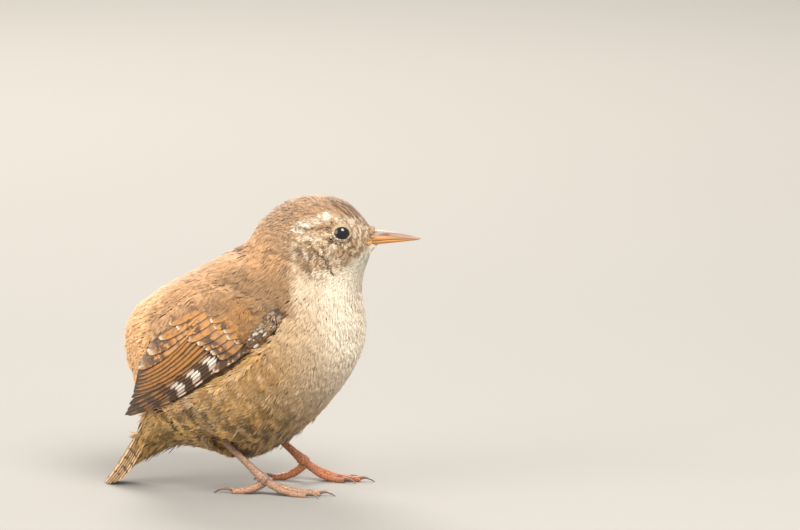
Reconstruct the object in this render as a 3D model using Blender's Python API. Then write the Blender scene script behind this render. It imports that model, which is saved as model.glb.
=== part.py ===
"""Life-size still model of a wren that stands with its feathers fluffed out and its tail hanging.

The bird heads along +X, +Y is its left side, and it stands on the plane z = 0.
Lengths are in metres and are written in millimetres times MM.
"""
import math

import bmesh
import bpy
from mathutils import Matrix, Vector

MM = 0.001
GAP = 0.3 * MM              # air between two solids that touch
WELD = 0.001 * MM           # points nearer than this are one

# Stations down the body, from the face to the tail root. Each gives the point on the back's
# outline (x, z), the point on the throat and belly outline (x, z), and half the width, in mm.
STATIONS = {
    "face": ((24.7, 58.7), (24.8, 55.4), 1.5),
    "lores": ((22.0, 62.2), (24.4, 53.6), 4.0),
    "brow": ((18.2, 65.4), (24.0, 51.8), 6.2),
    "crown": ((12.0, 66.5), (23.0, 48.4), 7.7),
    "nape": ((4.6, 64.5), (22.9, 43.0), 9.6),
    "neck": ((-0.9, 59.8), (23.4, 37.8), 13.2),
    "mantle": ((-6.6, 53.9), (22.3, 30.6), 17.4),
    "back": ((-15.2, 49.1), (16.8, 21.4), 20.4),
    "saddle": ((-23.8, 44.0), (8.2, 12.4), 20.8),
    "rump": ((-29.6, 38.4), (-1.8, 7.2), 18.4),
    "vent": ((-30.9, 31.2), (-10.7, 8.2), 13.4),
    "tail_root": ((-28.6, 23.4), (-16.8, 9.5), 8.6),
    "tail_coverts": ((-26.6, 16.6), (-21.4, 8.4), 5.2),
    "under_tail": ((-27.6, 11.4), (-25.0, 7.0), 3.4),
    "covert_tips": ((-29.7, 6.6), (-28.5, 5.0), 1.5),
}
WIDEST_BELOW_MIDDLE = 0.10  # how far the body's width sits below the middle of a ring
RING_POINTS = 32
RINGS_PER_STATION = 3

# Places of the thin cuts that part the body, as fractions of the way between stations.
CUTS = {"head_neck": 3.9, "neck_torso": 5.7, "torso_rump": 9.2}

# Eye
EYE_PLACE = (18.9 * MM, 59.1 * MM)
EYE_RADIUS = 2.5 * MM
LID_ABOVE_CENTRE = 1.75 * MM
LID_THICKNESS = 0.36 * MM
LID_SINK = 0.12 * MM
EYE_SINK = 0.30 * MM        # how far the lid lies under the ends of the feathers round it

# Bill
BILL_ROOT_X = 21.5 * MM
BILL_TIP = (35.6 * MM, 56.75 * MM)
MOUTH_CORNER = (22.3 * MM, 55.75 * MM)
GAPE_LENGTH = 2.6 * MM      # how far the mouth's corner reaches back past the bill's root
GAPE_SLOPE = math.radians(14)
BILL_TOP_Z = 58.75 * MM
BILL_BOTTOM_Z = 55.0 * MM
BILL_HALF_WIDTH = 1.55 * MM
MOUTH_GAP = 0.22 * MM
MOUTH_ARCH = 0.35 * MM      # how far the closed mouth's line curves up between root and tip
BILL_TIP_ABOVE = 0.2 * MM
BILL_TIP_BELOW = 0.3 * MM
CULMEN_FALL = 2.2           # higher keeps the ridge straight for longer
BILL_STEPS = 10
NOSTRIL_PLACE = (27.3 * MM, 57.75 * MM)
NOSTRIL_SIZE = (1.15 * MM, 0.42 * MM, 0.34 * MM)
NOSTRIL_OUT = 1.22 * MM
NOSTRIL_SLOPE = math.radians(6)

# Wing, in its own directions: a runs from the bend to the tip and b runs up towards the back.
WING_BEND = (4.7 * MM, 38.9 * MM)
WING_TIP = (-30.2 * MM, 16.1 * MM)
WING_LENGTH = math.dist(WING_BEND, WING_TIP)
WING_OUT = 20.6 * MM        # how far the wing stands from the bird's middle plane at its widest
WING_OUT_A = 15.0 * MM
WING_OUT_B = 2.5 * MM
WING_CURVE_FRONT = 0.0105 / MM
WING_CURVE_BACK = 0.0150 / MM
WING_CURVE_TIP = 0.0120 / MM
WING_TIP_A = 24.0 * MM      # past this the wing bends in more towards the rump
WING_CURVE_UP = 0.050 / MM
WING_UPPER_EDGE = (
    (-3.0, 5.0), (3.0, 12.4), (10.4, 15.0), (19.0, 14.4), (27.0, 11.6), (34.5, 6.6), (43.5, 1.6),
)
WING_LOWER_BULGE = 2.4 * MM
WING_PAD_START = -2.4 * MM
WING_PAD_END = 19.0 * MM
WING_PAD_DEPTH = 1.5 * MM
WING_MARGIN = 0.35 * MM     # air round the wing's edge

VANE_THICKNESS = 0.5 * MM
VANE_OUTLINE = ((0.0, 0.6), (0.38, 0.97), (0.72, 0.94), (0.92, 0.56), (1.0, 0.14))
COVERT_OUTLINE = ((0.0, 0.7), (0.5, 1.0), (0.84, 0.80), (1.0, 0.22))
VANE_TILT = 0.20
# Tips (a, b) of the seven primaries that show, from the outermost up, in mm
PRIMARY_TIPS = ((34.0, -0.9), (38.2, -0.5), (40.7, -0.1), (41.4, 0.4), (39.9, 1.1), (38.3, 2.1), (36.6, 3.2))
# The tiers of the wing, in mm. Each pair is the value of the first feather and the step to the next.
WING_TIERS = {
    "primaries": {
        "count": 7, "root_a": (6.5, 0.7), "root_b": (0.5, 0.55), "half_width": 1.35, "level": (-0.35, 0.05),
        "bow": (-0.65, 0.09), "lift": 0.0, "outline": VANE_OUTLINE,
    },
    "secondaries": {
        "count": 6, "root_a": (8.5, 0.3), "root_b": (4.6, 1.15), "tip_a": (35.4, -0.75), "tip_b": (4.0, 0.58),
        "half_width": 2.0, "level": (0.02, 0.05), "bow": (-0.5, 0.0), "lift": 0.0, "outline": VANE_OUTLINE,
    },
    "tertials": {
        "count": 3, "root_a": (9.0, -0.5), "root_b": (10.6, 0.7), "tip_a": (30.8, -3.8), "tip_b": (8.0, 1.6),
        "half_width": 2.2, "level": (0.36, 0.08), "bow": (-0.2, 0.0), "lift": 0.0, "outline": VANE_OUTLINE,
    },
    "greater_coverts": {
        "count": 8, "root_a": (5.0, 0.1), "root_b": (1.6, 1.45), "tip_a": (17.6, 0.25), "tip_b": (0.9, 1.62),
        "half_width": 1.5, "level": (0.42, 0.05), "bow": (0.0, 0.0), "lift": 0.12, "outline": COVERT_OUTLINE,
    },
    "median_coverts": {
        "count": 7, "root_a": (1.2, 0.3), "root_b": (2.0, 1.4), "tip_a": (10.2, 0.25), "tip_b": (1.9, 1.6),
        "half_width": 1.45, "level": (0.62, 0.05), "bow": (0.0, 0.0), "lift": 0.25, "outline": COVERT_OUTLINE,
    },
    "primary_coverts": {
        "count": 3, "root_a": (1.0, 2.6), "root_b": (0.1, -0.2), "tip_a": (8.2, 3.9), "tip_b": (-1.0, -0.1),
        "half_width": 0.95, "level": (0.30, -0.1), "bow": (0.0, 0.0), "lift": -0.1, "outline": COVERT_OUTLINE,
    },
}
WING_PAD_TOP = 0.30 * MM
WING_PAD_FALL = 0.9 * MM    # how much lower the pad's top lies at its end
POCKET_DEEPEST = 9.0 * MM   # how far the room for the wing reaches out past the body

# Tail
TAIL_ROOT = Vector((-24.6, 0.0, 19.4)) * MM
TAIL_TIP = Vector((-35.9, 0.0, 0.25)) * MM
TAIL_PAIRS = 6
TAIL_ROOF = 0.42            # fall of the closed tail from its ridge to its edges
TAIL_LEFT_OVER_RIGHT = 0.09  # mm by which each left feather lies over its right fellow
TAIL_RIDGE_ROUNDING = 1.2 * MM
TAIL_HOLLOW = 0.5 * MM      # sag of the tail's line between root and tip
TAIL_HOLLOW_END = 22.0 * MM
# One side's feathers from the middle pair out, in mm: value of the first and step to the next
TAIL_FEATHERS = {
    "root_b": (0.5, 0.25), "tip_b": (0.62, 0.62), "level": (0.30, -0.33), "half_width": 1.75, "bow": 0.35,
}
TAIL_STEP = 0.15            # how much shorter the feathers get outwards, times the square of the count
TAIL_COVERTS = {
    "root_a": 1.5, "root_b": (0.0, 0.7), "tip_a": (10.4, -1.5), "tip_b": (0.8, 1.0), "level": (0.75, -0.25),
}
TAIL_COVERT_PAIRS = 3
TAIL_COVERT_HALF_WIDTH = 1.7
TAIL_STUMP_PLACE = (4.0 * MM, -0.9 * MM)
TAIL_STUMP_SIZE = (1.8 * MM, 2.2 * MM, 3.4 * MM)

# Legs
TARSUS_RADIUS = 0.82 * MM
BALL_RADIUS = 1.25 * MM
FLOOR_FLAT = 0.14 * MM      # how much of the sole the floor plane takes off
LEGS = {
    "right": {"side": -1, "ball": (2.2, -9.9, 3.0), "heel": (-10.4, -10.4, 15.2)},
    "left": {"side": 1, "ball": (8.4, 9.3, 3.9), "heel": (-4.6, 8.4, 15.6)},
}
# Shares of the way from ball to heel, and the shank's radius there in tarsus radii
SHANK = ((0, 1.25), (0.08, 1.12), (0.2, 0.92), (0.4, 0.86), (0.6, 0.90), (0.8, 1.02), (1.0, 1.25))
FOOT_PARTING = 1.9 * MM     # how far up the shank the cut between foot and tarsus lies
# The hollow in the belly's side in which the right shank shows: the distance below the heel, half
# the width along the body, and how far it reaches in past the shank's middle, in mm
LEG_HOLLOW = ((1.6, 1.7, 1.3), (3.2, 2.7, 1.9), (6.0, 3.6, 2.3), (10.0, 4.6, 2.6), (16.0, 5.6, 2.8))
LEG_HOLLOW_OUT = 12.0       # how far it reaches out, past the belly's side
# Length, heading in degrees towards the bird's inner side, radius at the root, claw length.
TOES = {
    "inner": (8.8, 13.0, 0.72, 3.2),
    "middle": (12.0, 1.0, 0.80, 3.6),
    "outer": (9.4, -13.0, 0.72, 3.2),
    "hind": (7.2, 176.0, 0.84, 4.6),
}
TOE_SIDES = 8
TOE_STEPS = 8
TOE_JOINTS = (3, 6)         # the steps at which a toe swells
TOE_SWELLING = 0.09
TOE_TAPER = 0.28
TOE_RISE = 0.78             # height of a lying toe's middle, in its radius
CLAW_OVERLAP = 0.2 * MM     # length of the toe's end that the claw takes
CLAW_START = 0.4 * MM
CLAW_RADII = (0.54, 0.52, 0.44, 0.35, 0.26, 0.16)
CLAW_FLATNESS = 0.8
CLAW_ARCH = 0.16


def material(name, colour, roughness, metallic=0.0):
    made = bpy.data.materials.new(name)
    made.use_nodes = True
    shader = made.node_tree.nodes["Principled BSDF"]
    shader.inputs["Base Color"].default_value = (*colour, 1.0)
    shader.inputs["Roughness"].default_value = roughness
    shader.inputs["Metallic"].default_value = metallic
    return made


def spline(knots, values, at):
    """Smooth curve through the values at the knots, which may be uneven."""
    last = len(knots) - 2
    i = min(max(sum(k <= at for k in knots) - 1, 0), last)
    before, after = max(i - 1, 0), min(i + 2, last + 1)
    span = knots[i + 1] - knots[i]
    t = (at - knots[i]) / span
    start = (values[i + 1] - values[before]) / (knots[i + 1] - knots[before]) * span
    end = (values[after] - values[i]) / (knots[after] - knots[i]) * span
    square, cube = t * t, t * t * t
    return (
        (2 * cube - 3 * square + 1) * values[i]
        + (cube - 2 * square + t) * start
        + (3 * square - 2 * cube) * values[i + 1]
        + (cube - square) * end
    )


def finished(name, bm, skin):
    """A closed mesh object from a bmesh, its faces pointing out."""
    bmesh.ops.recalc_face_normals(bm, faces=bm.faces)
    mesh = bpy.data.meshes.new(name)
    bm.to_mesh(mesh)
    bm.free()
    obj = bpy.data.objects.new(name, mesh)
    PARTS.objects.link(obj)
    mesh.materials.append(skin)
    return obj


def loft(name, rings, skin, alike=False):
    """A solid through rings of the same number of points. With alike, a thin blade's lower face
    is split along the same diagonals as its upper one."""
    bm = bmesh.new()
    count = len(rings[0])
    points = [[bm.verts.new(p) for p in ring] for ring in rings]
    for lower, upper in zip(points, points[1:]):
        for j in range(count):
            k = (j + 1) % count
            if alike and j >= count // 2:
                bm.faces.new((lower[j], lower[k], upper[j]))
                bm.faces.new((lower[k], upper[k], upper[j]))
            else:
                bm.faces.new((lower[j], lower[k], upper[k]))
                bm.faces.new((lower[j], upper[k], upper[j]))
    bm.faces.new(reversed(points[0]))
    bm.faces.new(points[-1])
    return finished(name, bm, skin)


def ball(name, centre, radii, skin, segments=20, rings=14, turn=None):
    bm = bmesh.new()
    bmesh.ops.create_uvsphere(bm, u_segments=segments, v_segments=rings, radius=1.0)
    bmesh.ops.scale(bm, vec=radii, verts=bm.verts)
    if turn:
        bmesh.ops.rotate(bm, matrix=turn, verts=bm.verts)
    bmesh.ops.translate(bm, vec=centre, verts=bm.verts)
    return finished(name, bm, skin)


def settle(obj):
    """Replaces the object's mesh by what its modifiers make of it."""
    graph = bpy.context.evaluated_depsgraph_get()
    mesh = bpy.data.meshes.new_from_object(obj.evaluated_get(graph))
    obj.modifiers.clear()
    obj.data = mesh
    return obj


def boolean(obj, others, operation, solver="EXACT"):
    """Joins to the object, or cuts from it, the other solids, which are then removed."""
    group = bpy.data.collections.new(obj.name + "_pieces")
    for other in others:
        group.objects.link(other)
    modifier = obj.modifiers.new(operation.lower(), "BOOLEAN")
    modifier.operation = operation
    modifier.operand_type = "COLLECTION"
    modifier.collection = group
    modifier.solver = solver
    settle(obj)
    for other in others:
        bpy.data.objects.remove(other)
    bpy.data.collections.remove(group)
    return obj


def shells(bm):
    """The mesh's separate surfaces, as lists of faces."""
    left, found = set(bm.faces), []
    while left:
        edge, shell = [left.pop()], []
        while edge:
            face = edge.pop()
            shell.append(face)
            for loop in face.loops:
                near = loop.link_loop_radial_next.face
                if near in left:
                    left.remove(near)
                    edge.append(near)
        found.append(shell)
    return found


def without_slivers(obj):
    """The object's mesh as a bmesh with its points welded and its collapsed faces taken out."""
    bm = bmesh.new()
    bm.from_mesh(obj.data)
    bmesh.ops.triangulate(bm, faces=bm.faces)
    bmesh.ops.remove_doubles(bm, verts=bm.verts, dist=WELD)
    bmesh.ops.dissolve_degenerate(bm, edges=bm.edges, dist=WELD / 2)
    twins = {}
    for face in bm.faces:
        twins.setdefault(frozenset(v.index for v in face.verts), []).append(face)
    doubled = [face for group in twins.values() if len(group) > 1 for face in group]
    bmesh.ops.delete(bm, geom=doubled, context="FACES")
    bmesh.ops.triangulate(bm, faces=bm.faces)
    return bm


def keep_largest(obj):
    bm = without_slivers(obj)
    ordered = sorted(shells(bm), key=lambda shell: sum(f.calc_area() for f in shell))
    for shell in ordered[:-1]:
        bmesh.ops.delete(bm, geom=shell, context="FACES")
    bm.to_mesh(obj.data)
    bm.free()
    return obj


def above_floor(obj):
    """Cuts the object flat at the plane it stands on."""
    bm = bmesh.new()
    bmesh.ops.create_cube(bm, size=1.0)
    bmesh.ops.scale(bm, vec=(200 * MM, 200 * MM, 10 * MM), verts=bm.verts)
    bmesh.ops.translate(bm, vec=(0, 0, -5 * MM), verts=bm.verts)
    return boolean(obj, [finished("ground", bm, obj.data.materials[0])], "DIFFERENCE")


def swollen(obj, by):
    """A copy whose surface stands further out, used to leave a gap round the object."""
    copy = obj.copy()
    copy.data = obj.data.copy()
    PARTS.objects.link(copy)
    normals = [v.normal.copy() for v in copy.data.vertices]
    for vertex, normal in zip(copy.data.vertices, normals):
        vertex.co += normal * by
    return copy


def station_ring(at):
    """The body's outline across, at a place counted in stations from the face."""
    rows = list(STATIONS.values())
    knots = list(range(len(rows)))
    back_x, back_z = (spline(knots, [r[0][i] for r in rows], at) * MM for i in (0, 1))
    front_x, front_z = (spline(knots, [r[1][i] for r in rows], at) * MM for i in (0, 1))
    width = spline(knots, [r[2] for r in rows], at) * MM
    middle = Vector(((back_x + front_x) / 2, 0, (back_z + front_z) / 2))
    up = Vector(((back_x - front_x) / 2, 0, (back_z - front_z) / 2))
    ring = []
    for j in range(RING_POINTS):
        angle = 2 * math.pi * j / RING_POINTS
        side = width * math.sin(angle) * (1 - WIDEST_BELOW_MIDDLE * math.cos(angle))
        ring.append(middle + up * math.cos(angle) + Vector((0, side, 0)))
    return ring


def body(name, skin):
    last = len(STATIONS) - 1
    steps = last * RINGS_PER_STATION
    return loft(name, [station_ring(last * i / steps) for i in range(steps + 1)], skin)


def body_side(whole, x, z, side):
    """The point on the body's side at a place seen from the side, and the way out there."""
    _, where, out, _ = whole.ray_cast(Vector((x, side, z)), Vector((0, -side, 0)))
    return where, out


def thin_cut(at, skin):
    """A slab one gap thick that lies in the ring at this place."""
    ring = station_ring(at)
    back, front = ring[0], ring[RING_POINTS // 2]
    along = (back - front).normalized()
    across = Vector((-along.z, 0, along.x))
    middle = (back + front) / 2
    reach = (back - front).length / 2 + 4 * MM
    bm = bmesh.new()
    bmesh.ops.create_cube(bm, size=1.0)
    bmesh.ops.scale(bm, vec=(2 * reach, 80 * MM, GAP), verts=bm.verts)
    turn = Matrix((along, Vector((0, 1, 0)), across)).transposed()
    bmesh.ops.rotate(bm, matrix=turn, verts=bm.verts)
    bmesh.ops.translate(bm, vec=middle, verts=bm.verts)
    return finished("cut", bm, skin)


def part_body(whole, skin):
    """Parts the cut body into its named lengths, from the head back."""
    bm = without_slivers(whole)
    pieces = []
    for shell in shells(bm):
        part = bmesh.new()
        corners = {}
        for face in shell:
            for vertex in face.verts:
                corners.setdefault(vertex, None)
        for vertex in corners:
            corners[vertex] = part.verts.new(vertex.co)
        for face in shell:
            part.faces.new([corners[v] for v in face.verts])
        volume = abs(part.calc_volume())
        centre = sum((v.co for v in part.verts), Vector()) / len(part.verts)
        pieces.append((volume, centre.x + centre.z, part))
    bm.free()
    bpy.data.objects.remove(whole)
    pieces = sorted(pieces, key=lambda p: -p[0])
    for spare in pieces[4:]:
        spare[2].free()
    pieces = sorted(pieces[:4], key=lambda p: -p[1])
    made = {}
    for name, (_, _, part) in zip(("head", "neck", "torso", "rump"), pieces):
        made[name] = keep_largest(finished(name, part, skin))
    return made


def face_details(head, whole, skins):
    """Sets the eyes in their sockets, with a raised lid round each, and cuts the mouth's corner."""
    for side, label in ((-1, "right"), (1, "left")):
        surface, outward = body_side(whole, *EYE_PLACE, side)
        centre = surface - outward * (LID_ABOVE_CENTRE + EYE_SINK)
        turn = outward.to_track_quat("Z", "Y").to_matrix()
        lid_plane = centre + outward * (LID_ABOVE_CENTRE - LID_SINK)
        eye_at_lid = math.sqrt(EYE_RADIUS**2 - LID_ABOVE_CENTRE**2)
        lid_reach = eye_at_lid + GAP + LID_THICKNESS
        lid = ring_solid("lid", lid_plane, turn, lid_reach, LID_THICKNESS, skins["plumage"])
        boolean(head, [lid], "UNION")
        socket = ball("socket", centre, (EYE_RADIUS + GAP,) * 3, skins["plumage"], 20, 12, turn)
        boolean(head, [socket], "DIFFERENCE")
        ball("eye_" + label, centre, (EYE_RADIUS,) * 3, skins["eye"], 18, 12, turn)
    turn = Matrix.Rotation(-GAPE_SLOPE, 3, "Y")
    corner = Vector((MOUTH_CORNER[0], 0, MOUTH_CORNER[1]))
    centre = corner + Vector((GAPE_LENGTH, 0, GAPE_LENGTH * math.tan(GAPE_SLOPE)))
    groove = ball("groove", centre, (GAPE_LENGTH, 8 * MM, MOUTH_GAP * 0.7), skins["plumage"], 16, 8, turn)
    boolean(head, [groove], "DIFFERENCE")
    return keep_largest(head)


def ring_solid(name, centre, turn, major, minor, skin, steps=20, sides=6):
    """A ring of round section in the plane across turn's third axis."""
    bm = bmesh.new()
    section = bmesh.ops.create_circle(bm, segments=sides, radius=minor)["verts"]
    bmesh.ops.rotate(bm, matrix=Matrix.Rotation(math.pi / 2, 3, "X"), verts=section)
    bmesh.ops.translate(bm, vec=(major, 0, 0), verts=section)
    bmesh.ops.spin(
        bm, geom=bm.verts[:] + bm.edges[:], axis=(0, 0, 1), cent=(0, 0, 0), angle=2 * math.pi, steps=steps,
        use_merge=True,
    )
    bmesh.ops.rotate(bm, matrix=turn, verts=bm.verts)
    bmesh.ops.translate(bm, vec=centre, verts=bm.verts)
    return finished(name, bm, skin)


def bill_ring(x, top, bottom, width, upper):
    """Half of the bill's section: arched over the ridge above, keeled below, flat at the mouth."""
    points = []
    steps = 8
    for j in range(steps + 1):
        angle = math.pi * j / steps
        rise = math.sin(angle) ** (0.8 if upper else 1.0)
        reach = (top - bottom) * rise
        points.append(Vector((x, width * math.cos(angle), bottom + reach if upper else top - reach)))
    return points


def bill(whole, skins):
    """Upper and lower mandible, cut clear of the face."""
    tip_x, tip_z = BILL_TIP
    length = tip_x - BILL_ROOT_X
    upper, lower = [], []
    for i in range(BILL_STEPS + 1):
        t = i / BILL_STEPS
        x = BILL_ROOT_X + length * t
        mouth = MOUTH_CORNER[1] + (tip_z - MOUTH_CORNER[1]) * t + MOUTH_ARCH * math.sin(math.pi * t)
        top = BILL_TOP_Z + (tip_z + BILL_TIP_ABOVE - BILL_TOP_Z) * t**CULMEN_FALL
        bottom = BILL_BOTTOM_Z + (tip_z - BILL_TIP_BELOW - BILL_BOTTOM_Z) * t**1.15
        width = BILL_HALF_WIDTH * (1 - t) ** 0.72 + 0.14 * MM
        upper.append(bill_ring(x, top, mouth + MOUTH_GAP / 2, width, True))
        if t < 0.95:
            bottom = min(bottom, mouth - BILL_TIP_BELOW)
            lower.append(bill_ring(x, mouth - MOUTH_GAP / 2, bottom, width * 0.92, False))
    for name, rings in (("bill_upper", upper), ("bill_lower", lower)):
        piece = loft(name, rings, skins["bill"])
        if name == "bill_upper":
            for side in (-1, 1):
                turn = Matrix.Rotation(NOSTRIL_SLOPE, 3, "Y")
                place = Vector((NOSTRIL_PLACE[0], side * NOSTRIL_OUT, NOSTRIL_PLACE[1]))
                nostril = ball("nostril", place, NOSTRIL_SIZE, skins["bill"], 10, 8, turn)
                boolean(piece, [nostril], "DIFFERENCE")
        boolean(piece, [swollen(whole, GAP)], "DIFFERENCE")
        keep_largest(piece)


def wing_out(a, b):
    """How far the wing's surface stands from the middle plane."""
    curve = WING_CURVE_BACK if a > WING_OUT_A else WING_CURVE_FRONT
    bend_in = WING_CURVE_TIP * max(0.0, a - WING_TIP_A) ** 2
    return WING_OUT - curve * (a - WING_OUT_A) ** 2 - WING_CURVE_UP * (b - WING_OUT_B) ** 2 - bend_in


def wing_place(side):
    """A function that turns the wing's own a, b and height n into a point."""
    bend = Vector((WING_BEND[0], 0, WING_BEND[1]))
    along = (Vector((WING_TIP[0], 0, WING_TIP[1])) - bend).normalized()
    up = Vector((along.z, 0, -along.x))
    outward = Vector((0, side, 0))

    def place(a, b, n):
        step = 0.1 * MM
        slope_a = (wing_out(a + step, b) - wing_out(a - step, b)) / (2 * step)
        slope_b = (wing_out(a, b + step) - wing_out(a, b - step)) / (2 * step)
        normal = (outward - along * slope_a - up * slope_b).normalized()
        return bend + along * a + up * b + outward * wing_out(a, b) + normal * n

    return place


def upper_edge(a):
    return spline([k for k, _ in WING_UPPER_EDGE], [v for _, v in WING_UPPER_EDGE], a / MM) * MM


def lower_edge(a):
    share = min(max((a + 3 * MM) / (WING_LENGTH + 3 * MM), 0), 1)
    return -0.4 * MM - WING_LOWER_BULGE * math.sin(math.pi * share)


def pad_ring(place, a, margin, floor, top, rounding):
    """A section of the wing between its edges, from its floor to its top."""
    low, high = lower_edge(a) - margin, upper_edge(a) + margin
    across = [low + (high - low) * j / 6 for j in range(7)]
    if rounding:
        middle, half = (low + high) / 2, (high - low) / 2
        upper = [top - (top - floor) * 0.75 * abs((b - middle) / half) ** 3 for b in across]
    else:
        upper = [top] * len(across)
    return [place(a, b, floor) for b in across] + [place(a, b, n) for b, n in zip(across[::-1], upper[::-1])]


def wing_pad(side, skin):
    """The folded arm and hand under the coverts."""
    place = wing_place(side)
    rings = []
    for i in range(8):
        t = i / 7
        a = WING_PAD_START + (WING_PAD_END - WING_PAD_START) * t
        top = WING_PAD_TOP - WING_PAD_FALL * max(0.0, t - 0.5) * 2
        rings.append(pad_ring(place, a, -0.05 * MM, -WING_PAD_DEPTH, top, True))
    return loft("wing_pad", rings, skin)


def wing_pocket(side, skin):
    """The room for the wing in the body's side, open outwards."""
    place = wing_place(side)
    rings = []
    start = WING_PAD_START - GAP
    for i in range(13):
        a = start + (WING_LENGTH + 1.5 * MM - start) * i / 12
        rings.append(pad_ring(place, a, WING_MARGIN, -WING_PAD_DEPTH - GAP, POCKET_DEEPEST, False))
    return loft("pocket", rings, skin)


def vane(place, root, tip, half_width, level, bow, skin, tilt, outline, lift=0.0):
    """One feather: a thin blade on a curved surface, from its root (a, b) to its tip (a, b)."""
    root, tip = Vector(root) * MM, Vector(tip) * MM
    along = (tip - root).normalized()
    across = Vector((-along.y, along.x))
    rings = []
    for share, width in outline:
        centre = root + (tip - root) * share + across * bow * MM * math.sin(math.pi * share)
        half = half_width * MM * width
        rise = level * MM + lift * MM * share
        corners = []
        for reach, face in ((-half, 0.5), (half, 0.5), (half, -0.5), (-half, -0.5)):
            point = centre + across * reach
            thick = VANE_THICKNESS * face * (1.0 if share < 0.9 else 0.7)
            corners.append(place(point.x, point.y, rise - tilt * reach + thick))
        rings.append(corners)
    return loft("vane", rings, skin, alike=True)


def counted(pair, i):
    """The value of feather i in a tier, from the first one's value and the step."""
    first, step = pair
    return first + step * i


def wing(side, label, skins):
    """Primaries, secondaries, tertials and their coverts in tiers, joined on the folded arm."""
    place = wing_place(side)
    feathers = []
    for name, tier in WING_TIERS.items():
        for i in range(tier["count"]):
            root = (counted(tier["root_a"], i), counted(tier["root_b"], i))
            if name == "primaries":
                tip = PRIMARY_TIPS[i]
            else:
                tip = (counted(tier["tip_a"], i), counted(tier["tip_b"], i))
            level, bow = counted(tier["level"], i), counted(tier["bow"], i)
            shape = (VANE_TILT, tier["outline"], tier["lift"])
            feathers.append(vane(place, root, tip, tier["half_width"], level, bow, skins["wing"], *shape))
    arm = wing_pad(side, skins["wing"])
    arm.name = "wing_" + label
    return keep_largest(boolean(arm, feathers, "UNION"))


def tail_place():
    """A function for the closed tail's surface: a runs down the tail, b to the left, n off its back."""
    down = (TAIL_TIP - TAIL_ROOT).normalized()
    left = Vector((0, 1, 0))
    off = left.cross(down).normalized()
    if off.z < 0:
        off.negate()

    def place(a, b, n):
        droop = TAIL_ROOF * math.sqrt(b * b + TAIL_RIDGE_ROUNDING**2)
        hollow = TAIL_HOLLOW * math.sin(math.pi * min(max(a / TAIL_HOLLOW_END, 0), 1))
        return TAIL_ROOT + down * a + left * b + off * (n - droop - hollow)

    return place


def tail(whole, skins):
    """Six pairs of tail feathers, the middle pair on top, with coverts above and below."""
    place = tail_place()
    skin = skins["tail"]
    feathers = []
    full = (TAIL_TIP - TAIL_ROOT).length / MM
    row, cover = TAIL_FEATHERS, TAIL_COVERTS
    for i in reversed(range(TAIL_PAIRS)):
        for side in (-1, 1):
            over = TAIL_LEFT_OVER_RIGHT if side > 0 else 0.0
            root = (0.0, side * counted(row["root_b"], i))
            tip = (full - TAIL_STEP * i * i - 2 * over, side * counted(row["tip_b"], i) + over)
            level, bow = counted(row["level"], i) + over, side * row["bow"]
            feathers.append(vane(place, root, tip, row["half_width"], level, bow, skin, 0.0, VANE_OUTLINE))
    for i in range(TAIL_COVERT_PAIRS):
        for side in (-1, 1):
            over = TAIL_LEFT_OVER_RIGHT if side > 0 else 0.0
            root = (cover["root_a"], side * counted(cover["root_b"], i))
            tip = (counted(cover["tip_a"], i) - over, side * counted(cover["tip_b"], i) + over)
            level = counted(cover["level"], i) + over
            made = vane(place, root, tip, TAIL_COVERT_HALF_WIDTH, level, 0.0, skin, 0.0, COVERT_OUTLINE)
            feathers.append(made)
    stump_a, stump_n = TAIL_STUMP_PLACE
    core = ball("tail", place(stump_a, 0, stump_n), TAIL_STUMP_SIZE, skin, 12, 8)
    boolean(core, feathers, "UNION")
    boolean(core, [swollen(whole, GAP)], "DIFFERENCE")
    return keep_largest(above_floor(keep_largest(core)))


def tube(name, path, radii, skin, sides=TOE_SIDES, flat=1.0):
    """A tapered limb of round section along a path. Flat squeezes it across."""
    rings = []
    for i, (point, radius) in enumerate(zip(path, radii)):
        ahead, behind = path[min(i + 1, len(path) - 1)], path[max(i - 1, 0)]
        along = (ahead - behind).normalized()
        level = Vector((-along.y, along.x, 0))
        level = level.normalized() if level.length > 1e-6 else Vector((0, 1, 0))
        up = along.cross(level)
        ring = []
        for j in range(sides):
            angle = 2 * math.pi * (j + 0.5) / sides
            ring.append(point + level * math.cos(angle) * radius * flat + up * math.sin(angle) * radius)
        rings.append(ring)
    return loft(name, rings, skin)


def toe_path(foot, heading, length, radius):
    """Points down from the ball of the foot and along the floor."""
    start = Vector(foot["ball"]) * MM
    ahead = Vector((math.cos(heading), math.sin(heading), 0))
    rest = radius - FLOOR_FLAT
    path = []
    for i in range(TOE_STEPS + 1):
        t = i / TOE_STEPS
        height = rest + (start.z - rest) * (1 - t) ** 2.4
        point = start + ahead * length * t
        path.append(Vector((point.x, point.y, height)))
    return path


def claw_path(end, ahead, length, radius):
    """A claw's arc from the toe's end down to the floor."""
    path = []
    last = len(CLAW_RADII) - 1
    for i in range(last + 1):
        t = i / last
        lift = CLAW_ARCH * length * math.sin(math.pi * t)
        height = end.z + (radius * 0.25 - end.z) * t**1.8 + lift
        path.append(Vector((end.x, end.y, 0)) + ahead * length * t + Vector((0, 0, height)))
    return path


def leg_hollow(foot, margin, skin):
    """The room beside the belly in which a shank shows, less the margin all round."""
    ball, heel = Vector(foot["ball"]) * MM, Vector(foot["heel"]) * MM
    down = (ball - heel).normalized()
    ahead = Vector((-down.z, 0, down.x)).normalized()
    outward = Vector((0, foot["side"], 0))
    rings = []
    for below, wide, inward in LEG_HOLLOW:
        reach_out = LEG_HOLLOW_OUT * MM
        reach_in = inward * MM - margin
        middle = heel + down * (below * MM + margin) + outward * (reach_out - reach_in) / 2
        half_out, half_along = (reach_out + reach_in) / 2, wide * MM - margin
        rings.append([
            middle + outward * math.cos(t) * half_out + ahead * math.sin(t) * half_along
            for t in (2 * math.pi * j / 14 for j in range(14))
        ])
    return loft("leg_hollow", rings, skin)


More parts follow.
